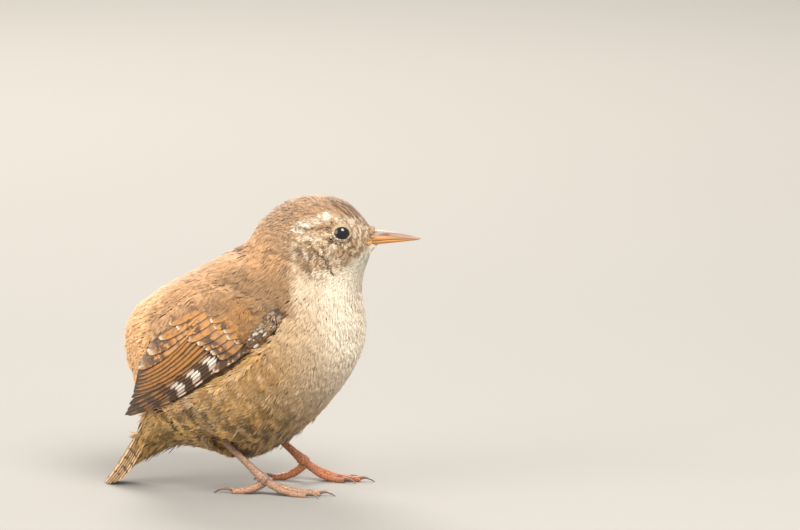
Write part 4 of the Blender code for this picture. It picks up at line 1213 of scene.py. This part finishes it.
class Wing:
    """The folded wing's surface, as places (a, b, n) in the wing's own directions, in metres."""

    def __init__(self, side):
        self.out = Vector((0, side, 0))
        self.along = (WING_TIP - WING_BEND).normalized()
        self.up = Vector((self.along.z, 0, -self.along.x))

    @staticmethod
    def reach(a, b):
        curve = WING_CURVE_BACK if a > WING_OUT_A else WING_CURVE_FRONT
        bend_in = WING_CURVE_TIP * max(0.0, a - WING_TIP_A) ** 2
        return WING_OUT - curve * (a - WING_OUT_A) ** 2 - WING_CURVE_UP * (b - WING_OUT_B) ** 2 - bend_in

    def normal(self, a, b):
        d = 0.1 * MM
        slope_a = (self.reach(a + d, b) - self.reach(a - d, b)) / (2 * d)
        slope_b = (self.reach(a, b + d) - self.reach(a, b - d)) / (2 * d)
        return (self.out - self.along * slope_a - self.up * slope_b).normalized()

    def place(self, a, b, n):
        here = WING_BEND + self.along * a + self.up * b + self.out * self.reach(a, b)
        return here + self.normal(a, b) * n


# Points across a vane, first over its top and then back under it
TOP = (-1.0, -0.82, -0.55, -0.25, -0.07, 0.0, 0.07, 0.25, 0.55, 0.82, 1.0)
BELOW = (0.82, 0.45, 0.0, -0.45, -0.82)
VANE_ROWS = 34


def vane_outline(share, blunt):
    if share < 0.6:
        return 0.45 + 0.55 * float(step(share, 0.0, 0.6))
    return math.sqrt(max(0.0, 1 - ((share - 0.6) / 0.4) ** blunt))


class Vanes:
    """Flight feathers, coverts or tail feathers in one mesh, on a surface given by place(a, b, n)."""

    def __init__(self, place, rng):
        self.bm, self.place, self.rng = bmesh.new(), place, rng
        layers = self.bm.verts.layers
        vectors = layers.float_vector
        self.layers = vectors.new("vane"), vectors.new("marks"), layers.float.new("chance")

    def add(self, root, tip, half, level, marks, bow=0.0, tilt=0.2, lift=0.0, blunt=2.6, outer=1):
        """One feather from its root (a, b) to its tip (a, b), in mm. Its outer web is the one towards
        lower b, or with outer -1 towards higher b. marks: white, barring, covert."""
        root, tip = Vector(root), Vector(tip)
        way = (tip - root).normalized()
        across = Vector((-way.y, way.x))
        rng = self.rng
        chance = rng.random()
        slits = [(rng.uniform(0.55, 0.93), rng.choice((-1, 1)), rng.uniform(0.05, 0.16)) for _ in range(2)]
        rings, facts = [], []
        for i in range(VANE_ROWS + 1):
            share = 1 - (1 - i / VANE_ROWS) ** 1.35
            wide = half * vane_outline(share, blunt)
            centre = root + (tip - root) * share + across * bow * math.sin(math.pi * share)
            ring, row = [], []
            for c, top in [(c, True) for c in TOP] + [(c, False) for c in BELOW]:
                cut = sum(deep for at, side, deep in slits if side * c > 0.7 and abs(share - at) < 0.014)
                point = centre + across * wide * c * (1 - cut)
                camber = 0.10 * (1 - c * c) + (0.07 if abs(c) < 0.01 else 0.0)
                thick = camber + 0.03 if top else camber - 0.10 * (1 - abs(c)) - 0.03
                rise = level + lift * share - tilt * wide * c + thick
                ring.append(self.place(point.x * MM, point.y * MM, rise * MM))
                row.append(Vector((share, c * outer, point.x)))
            rings.append(ring)
            facts.append(row)
        kinds = [[Vector(marks)] * len(ring)] * len(rings)
        chances = [[chance] * len(ring)] * len(rings)
        tube_through(self.bm, rings, zip(self.layers, (facts, kinds, chances)))


class WREN_OT_wings(bpy.types.Operator):
    """Both folded wings: arm, flight feathers, coverts and the small feathers of the shoulder"""

    bl_idname = "wren.wings"
    bl_label = "Wings"
    body = None

    def execute(self, context):
        barred = vane_material("wing_vanes", "rufous", 2.3, 0.8, 0.06)
        plumage = wing_plumage_material()
        lie = Lie()
        self.body = tree_of([bpy.data.objects["skin"].data])
        for label, side in SIDES.items():
            wing = Wing(side)
            rng = random.Random(11)
            vanes = Vanes(wing.place, rng)
            self.tiers(vanes)
            mesh = mesh_from(vanes.bm, "wing_" + label)
            add_piece("wing_feathers_" + label, mesh, barred, ["wing_" + label])
            bm = bmesh.new()
            self.arm(bm, wing)
            add_piece("wing_arm_" + label, mesh_from(bm, "arm_" + label), plumage)
            coat = Coat(lie, 21)
            self.shoulder(coat, wing, rng)
            mesh = coat.mesh("wing_coverts_" + label, Feather(7, 0.45), FEATHER_THICKNESS, FEATHER_DROOP)
            add_piece("wing_coverts_" + label, mesh, plumage)
        return {"FINISHED"}

    @staticmethod
    def tiers(vanes):
        """Primaries, secondaries, tertials, greater and median coverts, thumb and spotted bend."""
        rng = vanes.rng
        for i, (tip, white) in enumerate(zip(PRIMARY_TIPS, PRIMARY_WHITE)):
            root, level, bow = (6.5 + 0.7 * i, 0.5 + 0.55 * i), -0.35 + 0.05 * i, -0.65 + 0.09 * i
            vanes.add(root, tip, 1.25, level, (white, 0.15, 0.0), bow, blunt=1.7)
        for i in range(SECONDARIES):
            root, tip = (8.5 + 0.3 * i, 4.6 + 1.15 * i), (35.2 - 0.75 * i, 4.0 + 0.58 * i)
            vanes.add(root, tip, 1.9, 0.02 + 0.05 * i, (0.0, 0.22, 0.0), -0.5, blunt=2.1)
        for i in range(TERTIALS):
            root, tip = (9.0 - 0.5 * i, 10.6 + 0.7 * i), (30.6 - 3.8 * i, 8.0 + 1.6 * i)
            vanes.add(root, tip, 2.1, 0.36 + 0.08 * i, (0.0, 0.5, 0.65), -0.2, blunt=2.2)
        for i in range(GREATER_COVERTS):
            root = (4.4 + 0.2 * i, 1.6 + 1.45 * i)
            tip = (13.4 + 0.75 * i + rng.uniform(-0.5, 0.5), 0.9 + 1.62 * i)
            vanes.add(root, tip, 1.45, 0.36 + 0.05 * i, (0.0, 0.28, 0.9), tilt=0.08, lift=0.06)
        for i in range(MEDIAN_COVERTS):
            root = (1.2 + 0.3 * i, 2.0 + 1.4 * i)
            tip = (8.6 + 0.45 * i + rng.uniform(-0.6, 0.6), 1.9 + 1.6 * i)
            vanes.add(root, tip, 1.4, 0.48 + 0.04 * i, (0.0, 0.18, 0.8), tilt=0.08, lift=0.06)
        for i in range(EDGE_FEATHERS):
            root, tip = (1.0 + 2.6 * i, 0.1 - 0.2 * i), (8.2 + 3.9 * i, -1.0 - 0.1 * i)
            vanes.add(root, tip, 0.92, 0.30 - 0.1 * i, (0.7, 0.3, 0.9), lift=-0.1)
        for i in range(BEND_ROWS * BEND_COLUMNS):
            row, column = divmod(i, BEND_COLUMNS)
            b = 1.1 - 0.24 * column + 0.55 * row + rng.uniform(-0.35, 0.35)
            a = -4.3 + 0.90 * column + 0.25 * row + rng.uniform(-0.3, 0.3)
            tip = (a + rng.uniform(2.0, 3.2), b + rng.uniform(-0.9, 0.3))
            marks = (rng.choice((-1.0, -0.8, -0.5, -0.35)), 0.2, 0.0)
            level = 0.80 - 0.05 * row - 0.02 * column
            vanes.add((a, b), tip, rng.uniform(0.36, 0.60), level, marks, tilt=0.12, lift=0.2)

    @staticmethod
    def top_edge(a):
        return float(np.interp(a, *zip(*WING_TOP_EDGE)))

    def arm(self, bm, wing):
        """The folded arm under the coverts, closed."""
        rings = []
        for i in range(15):
            a = -2.2 + 21.0 * i / 14
            low, high = -0.4 - 1.3 * math.sin(math.pi * i / 30), self.top_edge(a) - 0.1
            across = np.linspace(low, high, 11)
            centre, half = (low + high) / 2, (high - low) / 2
            domed = [0.1 - 0.8 * abs((b - centre) / half) ** 4 - 0.03 * a for b in across]
            upper = [wing.place(a * MM, b * MM, rise * MM) for b, rise in zip(across, domed)]
            under = [wing.place(a * MM, b * MM, -1.4 * MM) for b in across[::-1]]
            rings.append(upper + under)
        tube_through(bm, rings)

    def shoulder(self, coat, wing, rng):
        """Small feathers over the roots of the coverts, and the long ones that close the wing to the back."""
        row, a = 0, -4.2
        while a < 7.0:
            b = 0.3 * (row % 2) + max(-0.3, 2.4 - 0.7 * (a + 4.2), 3.2 * (a - 3.2))
            while b < self.top_edge(max(a, -3.0)) - 0.1:
                length = min(3.2 + 0.14 * (a + 4.2), 3.9) + rng.uniform(-0.4, 0.4)
                low = 0.25 * min(a + 1.5, 0.0)
                heights = (0.1 + low, 0.65 + low * 0.5, 0.72 + rng.uniform(-0.1, 0.1))
                root = (a + rng.uniform(-0.3, 0.3), b + rng.uniform(-0.2, 0.2))
                self.lay(coat, wing, *root, length, rng.uniform(-0.12, 0.12), heights)
                b += 0.62
            a += 0.56
            row += 1
        for row, above, sunk in SCAPULAR_ROWS:
            a = -2.0 + 0.3 * row
            while a < (19.0 if row < 5 else 6.0):
                length = 5.6 + rng.uniform(-0.8, 0.8)
                slope = -0.34 - 0.03 * row + rng.uniform(-0.10, 0.10)
                heights = (-0.7, 0.55 + 0.04 * row, 0.70 + rng.uniform(-0.15, 0.2))
                self.lay(coat, wing, a, self.top_edge(max(a, -3.0)) + above, length, slope, heights, sunk)
                a += 0.62 + rng.uniform(-0.15, 0.15)

    def lay(self, coat, wing, a, b, length, slope, heights, sunk=(0.0, 0.0, 0.0)):
        """One small feather from its root (a, b) back over the wing, in mm, drawn down to the body."""
        shaft = []
        for s, n, low in zip((0.0, 0.5, 1.0), heights, sunk):
            point = wing.place((a + length * s) * MM, (b + slope * length * s) * MM, n * MM)
            near, out = self.body.find_nearest(point)[:2]
            shaft.append(point.lerp(near + out * (0.9 * s - 0.1) * MM, low))
        normals = [wing.normal(at * MM, b * MM) + wing.out * 0.6 for at in (a, a + length)]
        coat.add(np.array(shaft), np.array(normals), length * 0.27 * MM)


class WREN_OT_tail(bpy.types.Operator):
    """The closed tail: six pairs of feathers with the middle pair on top"""

    bl_idname = "wren.tail"
    bl_label = "Tail"

    def execute(self, context):
        down = (TAIL_END - TAIL_ROOT).normalized()
        left = Vector((0, 1, 0))
        off = left.cross(down).normalized()
        if off.z < 0:
            off.negate()
        full = (TAIL_END - TAIL_ROOT).length / MM

        def place(a, b, n):
            droop = 0.42 * math.sqrt(b * b + (1.2 * MM) ** 2)
            hollow = 0.5 * MM * math.sin(math.pi * min(max(a / (22 * MM), 0), 1))
            here = TAIL_ROOT + down * a + left * b + off * (n - droop - hollow)
            here.z = max(here.z, 0.02 * MM)
            return here

        rng = random.Random(31)
        vanes = Vanes(place, rng)
        for i in reversed(range(TAIL_PAIRS)):
            for side in (-1, 1):
                over = 0.09 if side > 0 else 0.0
                root = (3.0, side * (0.5 + 0.25 * i))
                tip = (full - 0.15 * i * i - 2 * over, side * (0.62 + 0.62 * i) + over)
                level = 0.30 - 0.33 * i + over
                vanes.add(root, tip, 1.7, level, (0.0, 0.8, 0.0), side * 0.35, tilt=0.0, outer=-side)
        barred = vane_material("tail_vanes", "tail", 2.1, 0.25, 0.65)
        add_piece("tail_feathers", mesh_from(vanes.bm, "tail"), barred, ["tail"])
        return {"FINISHED"}


def bill_section(x, top, bottom, width, upper, count=13):
    """Half of the bill's section at one place, arched above or keeled below, closed along the mouth."""
    points = []
    for j in range(count):
        angle = math.pi * j / (count - 1)
        rise = math.sin(angle) ** (0.8 if upper else 1.0)
        reach = (top - bottom) * rise
        points.append(Vector((x, width * math.cos(angle), bottom + reach if upper else top - reach)))
    flat = points[0].z
    return points + [Vector((x, width * c, flat)) for c in (-0.5, 0.0, 0.5)]


class WREN_OT_bill(bpy.types.Operator):
    """Upper and lower mandible, with the nostrils and the yellow corner of the mouth"""

    bl_idname = "wren.bill"
    bl_label = "Bill"

    def execute(self, context):
        root_x, tip_x = BILL_ROOT.x - 3.2 * MM, BILL_TIP.x
        mouth_root, mouth_tip = 55.75 * MM, 56.75 * MM
        ridge_root, keel_root = 58.75 * MM, 55.0 * MM
        upper, lower = [], []
        for i in range(BILL_STEPS + 1):
            t = i / BILL_STEPS
            x = root_x + (tip_x - root_x) * t
            mouth = mouth_root + (mouth_tip - mouth_root) * t + 0.35 * MM * math.sin(math.pi * t)
            top = ridge_root + (mouth_tip + 0.2 * MM - ridge_root) * t**2.2
            bottom = keel_root + (mouth_tip - 0.10 * MM - keel_root) * t**1.15
            width = 1.55 * MM * (1 - t) ** 0.72 + 0.14 * MM
            upper.append(bill_section(x, top, mouth + 0.05 * MM, width, True))
            if t < 0.98:
                low = min(bottom, mouth - 0.3 * MM * (1 - t) - 0.08 * MM)
                lower.append(bill_section(x, mouth - 0.05 * MM, low, width * 0.94, False))
        for name, rings in (("bill_upper", upper), ("bill_lower", lower)):
            bm = bmesh.new()
            tube_through(bm, rings)
            if name == "bill_upper":
                self.nostrils(bm)
            else:
                for side in SIDES.values():
                    self.gape(bm, gape_path(side))
            material = bill_material(name + "_horn", name == "bill_upper")
            add_piece(name + "_horn", mesh_from(bm, name), material, [name])
        return {"FINISHED"}

    @staticmethod
    def gape(bm, path):
        """The soft rim at the corner of the mouth."""
        rings = []
        for i, point in enumerate(path):
            way = (path[min(i + 1, GAPE_STEPS)] - path[max(i - 1, 0)]).normalized()
            up = Vector((0, 0, 1))
            out = way.cross(up).normalized()
            radius = (0.36 - 0.26 * (i / GAPE_STEPS) ** 1.5) * MM
            ring = [
                point + (out * math.cos(t) * 0.7 + up * math.sin(t) * 1.2) * radius
                for t in (2 * math.pi * j / 10 for j in range(10))
            ]
            rings.append(ring)
        tube_through(bm, rings)

    @staticmethod
    def nostrils(bm):
        """Presses a slit into each side of the upper mandible."""
        for vertex in bm.verts:
            off_x = (vertex.co.x - BILL_ROOT.x - 2.5 * MM) / (1.3 * MM)
            off_z = (vertex.co.z - 57.7 * MM) / (0.38 * MM)
            deep = math.exp(-(off_x**2) - off_z**2)
            vertex.co.y -= math.copysign(0.32 * MM * deep, vertex.co.y)


class WREN_OT_eyes(bpy.types.Operator):
    """Eyes and the bare rims of their lids"""

    bl_idname = "wren.eyes"
    bl_label = "Eyes"

    def execute(self, context):
        wet, rim = eye_material(), lid_material()
        for label, side in SIDES.items():
            centre = EYE_CENTRES[label]
            outward = eye_axes(side)[0]
            turn = outward.to_track_quat("Z", "Y").to_matrix()
            bm = bmesh.new()
            bmesh.ops.create_uvsphere(bm, u_segments=40, v_segments=28, radius=EYE_RADIUS)
            off_axis = bm.verts.layers.float.new("off_axis")
            for vertex in bm.verts:
                height = vertex.co.z / EYE_RADIUS
                vertex[off_axis] = math.acos(max(-1.0, min(1.0, height)))
                vertex.co.z += 0.10 * MM * float(step(height, 0.72, 0.95))
            bmesh.ops.rotate(bm, matrix=turn, verts=bm.verts)
            bmesh.ops.translate(bm, vec=centre, verts=bm.verts)
            add_piece("eyeball_" + label, mesh_from(bm, "eyeball"), wet, ["eye_" + label])
            bm = bmesh.new()
            self.lid(bm, centre, side)
            add_piece("eyelid_" + label, mesh_from(bm, "eyelid"), rim)
        return {"FINISHED"}

    @staticmethod
    def lid(bm, centre, side):
        """A wrinkled rim that lies on the eye and runs out under the feathers round it."""
        outward, ahead, above = eye_axes(side)
        rings = []
        for i in range(LID_STEPS + 1):
            angle = 2 * math.pi * (i % LID_STEPS) / LID_STEPS
            spoke = ahead * math.cos(angle) + above * math.sin(angle)
            open_to = lid_opening(angle) * MM
            wrinkle = 0.03 * math.sin(angle * 13) * MM
            over = math.sqrt(EYE_RADIUS**2 - open_to**2)
            ring = []
            for out_by, rise in LID_PROFILE:
                height = over + rise * MM + wrinkle * (rise > 0.05)
                ring.append(centre + spoke * (open_to + out_by * MM) + outward * height)
            rings.append([*ring, ring[0]])
        grid_through(bm, rings)
        bmesh.ops.remove_doubles(bm, verts=bm.verts, dist=1e-7)
        rim = bm.verts.layers.float.new("rim")
        for vertex in bm.verts:
            vertex[rim] = ((vertex.co - centre).length - EYE_RADIUS) / MM


class WREN_OT_legs(bpy.types.Operator):
    """Scaled shanks, feet and toes, and the finish of the claws"""

    bl_idname = "wren.legs"
    bl_label = "Legs"

    def execute(self, context):
        scales, horn = leg_material(), claw_material()
        for label, side in SIDES.items():
            bm = bmesh.new()
            scute = bm.verts.layers.float.new("scute")
            self.leg(bm, scute, LEGS[label], side)
            solids = ["tarsus_" + label, "foot_" + label]
            add_piece("leg_" + label, mesh_from(bm, "leg"), scales, solids)
            for toe in TOES:
                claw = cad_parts[f"claw_{label}_{toe}"]
                claw.data.materials.clear()
                claw.data.materials.append(horn)
        return {"FINISHED"}

    def leg(self, bm, scute, foot, side):
        ball, heel = Vector(foot["ball"]) * MM, Vector(foot["heel"]) * MM
        shares = [i / SHANK_STEPS for i in range(SHANK_STEPS + 1)]
        shank = [ball.lerp(heel, share) for share in shares]
        radii = [self.shank_radius(share) for share in shares]
        self.limb(bm, scute, shank, radii, 1.9, 0.09)
        for toe, (length, turn, thick) in TOES.items():
            heading = math.radians(-side * turn)
            ahead = Vector((math.cos(heading), math.sin(heading), 0))
            rest = (thick * 0.78 - 0.14) * MM
            path, widths = [], []
            for i in range(TOE_STEPS + 1):
                t = i / TOE_STEPS
                height = rest + (ball.z - rest) * (1 - t) ** 2.4
                path.append(Vector((ball.x, ball.y, height)) + ahead * (length + 0.45) * t * MM)
                joint = max(math.exp(-((t - at) / 0.06) ** 2) for at in (0.36, 0.68, 0.97))
                widths.append(thick * (1.08 - 0.28 * t + 0.12 * joint) * MM)
            self.limb(bm, scute, path, widths, 0.95, 0.12)

    @staticmethod
    def shank_radius(t):
        return SHANK_RADIUS * float(np.interp(t, *zip(*SHANK_SHAPE)))

    @staticmethod
    def limb(bm, scute, path, radii, plate, ridge):
        """A scaled limb. plate is the length of its scutes in mm, ridge how far each stands proud."""
        angles = [2 * math.pi * j / LIMB_SIDES for j in range(LIMB_SIDES)]
        rings, facts, travelled = [], [], 0.0
        last = len(path) - 1
        for i, (point, radius) in enumerate(zip(path, radii)):
            way = (path[min(i + 1, last)] - path[max(i - 1, 0)]).normalized()
            level = Vector((-way.y, way.x, 0)).normalized()
            up = way.cross(level)
            if up.z < 0:
                up.negate()
            travelled += (point - path[max(i - 1, 0)]).length / MM
            phase = (travelled / plate) % 1.0
            edge = min(phase, 1 - phase) * 2
            end = math.sqrt(max(0.0, 1 - max(0.0, (i - last + 1.5) / 1.5) ** 2)) if i > last - 2 else 1.0
            ring = []
            for angle in angles:
                top = max(0.0, math.sin(angle))
                spoke = level * math.cos(angle) + up * math.sin(angle)
                knob = noise.noise((point + spoke * radius) / (0.55 * MM))
                proud = 1 + ridge * top * (1 - (1 - edge) ** 3) + 0.10 * (1.1 - top) * knob
                place = point + spoke * radius * proud * end
                place.z = max(place.z, 0.0)
                ring.append(place)
            rings.append(ring)
            facts.append([1 - (1 - edge) * max(0.0, math.sin(angle)) for angle in angles])
        tube_through(bm, rings, [(scute, facts)])


class WREN_OT_stage(bpy.types.Operator):
    """Plain pale floor, soft lights, and the camera at the photo's angle"""

    bl_idname = "wren.stage"
    bl_label = "Studio"

    def execute(self, context):
        scene = context.scene
        bm = bmesh.new()
        bmesh.ops.create_circle(bm, cap_ends=True, segments=96, radius=FLOOR_RADIUS)
        mesh = bpy.data.meshes.new("floor")
        bm.to_mesh(mesh)
        bm.free()
        floor = bpy.data.objects.new("studio_floor", mesh)
        scene.collection.objects.link(floor)
        mesh.materials.append(floor_material())

        world = bpy.data.worlds.new("studio")
        world.use_nodes = True
        background = world.node_tree.nodes["Background"]
        background.inputs["Color"].default_value = SKY_COLOUR
        background.inputs["Strength"].default_value = SKY_STRENGTH
        scene.world = world
        for lamp in LIGHTS:
            self.light(*lamp)

        lens = bpy.data.cameras.new("photo_view")
        camera = bpy.data.objects.new("photo_view", lens)
        scene.collection.objects.link(camera)
        scene.camera = camera
        azimuth, elevation = math.radians(VIEW_AZIMUTH), math.radians(VIEW_ELEVATION)
        level = math.cos(elevation)
        back = Vector((math.sin(azimuth) * level, -math.cos(azimuth) * level, math.sin(elevation)))
        lens.sensor_width = SENSOR
        lens.lens = SENSOR * CAMERA_DISTANCE / (PHOTO_WIDTH / PIXELS_PER_MM * MM)
        lens.clip_start, lens.clip_end = 0.05, 50.0
        camera.location = VIEW_CENTRE + back * CAMERA_DISTANCE
        camera.rotation_euler = (-back).to_track_quat("-Z", "Y").to_euler()
        scene.view_settings.view_transform = "Standard"
        return {"FINISHED"}

    @staticmethod
    def light(name, place, size, power, tone):
        lamp = bpy.data.lights.new(name, "AREA")
        lamp.shape, lamp.size, lamp.energy, lamp.color = "DISK", size, power, tone
        obj = bpy.data.objects.new(name, lamp)
        obj.location = place
        obj.rotation_euler = (LIT_POINT - Vector(place)).to_track_quat("-Z", "Y").to_euler()
        bpy.context.scene.collection.objects.link(obj)


class WREN_PT_panel(bpy.types.Panel):
    """Lists the wren's pieces, sizes and colours"""

    bl_idname = "WREN_PT_panel"
    bl_label = "Wren"
    bl_space_type = "VIEW_3D"
    bl_region_type = "UI"
    bl_category = "Wren"

    def draw(self, context):
        for operator in OPERATORS:
            self.layout.operator(operator.bl_idname)
        for group in (context.scene.wren_sizes, context.scene.wren_colours):
            column = self.layout.column()
            for name in group.__annotations__:
                column.prop(group, name)


OPERATORS = (
    WREN_OT_coat, WREN_OT_wings, WREN_OT_tail, WREN_OT_bill, WREN_OT_eyes, WREN_OT_legs, WREN_OT_stage,
)
CLASSES = (WrenSizes, WrenColours, *OPERATORS, WREN_PT_panel)


def register():
    for cls in CLASSES:
        bpy.utils.register_class(cls)
    bpy.types.Scene.wren_sizes = PointerProperty(type=WrenSizes)
    bpy.types.Scene.wren_colours = PointerProperty(type=WrenColours)


def unregister():
    del bpy.types.Scene.wren_colours
    del bpy.types.Scene.wren_sizes
    for cls in reversed(CLASSES):
        bpy.utils.unregister_class(cls)


def main():
    register()
    bpy.ops.wren.coat()
    bpy.ops.wren.wings()
    bpy.ops.wren.tail()
    bpy.ops.wren.bill()
    bpy.ops.wren.eyes()
    bpy.ops.wren.legs()
    bpy.ops.wren.stage()


if __name__ == "__main__":
    main()
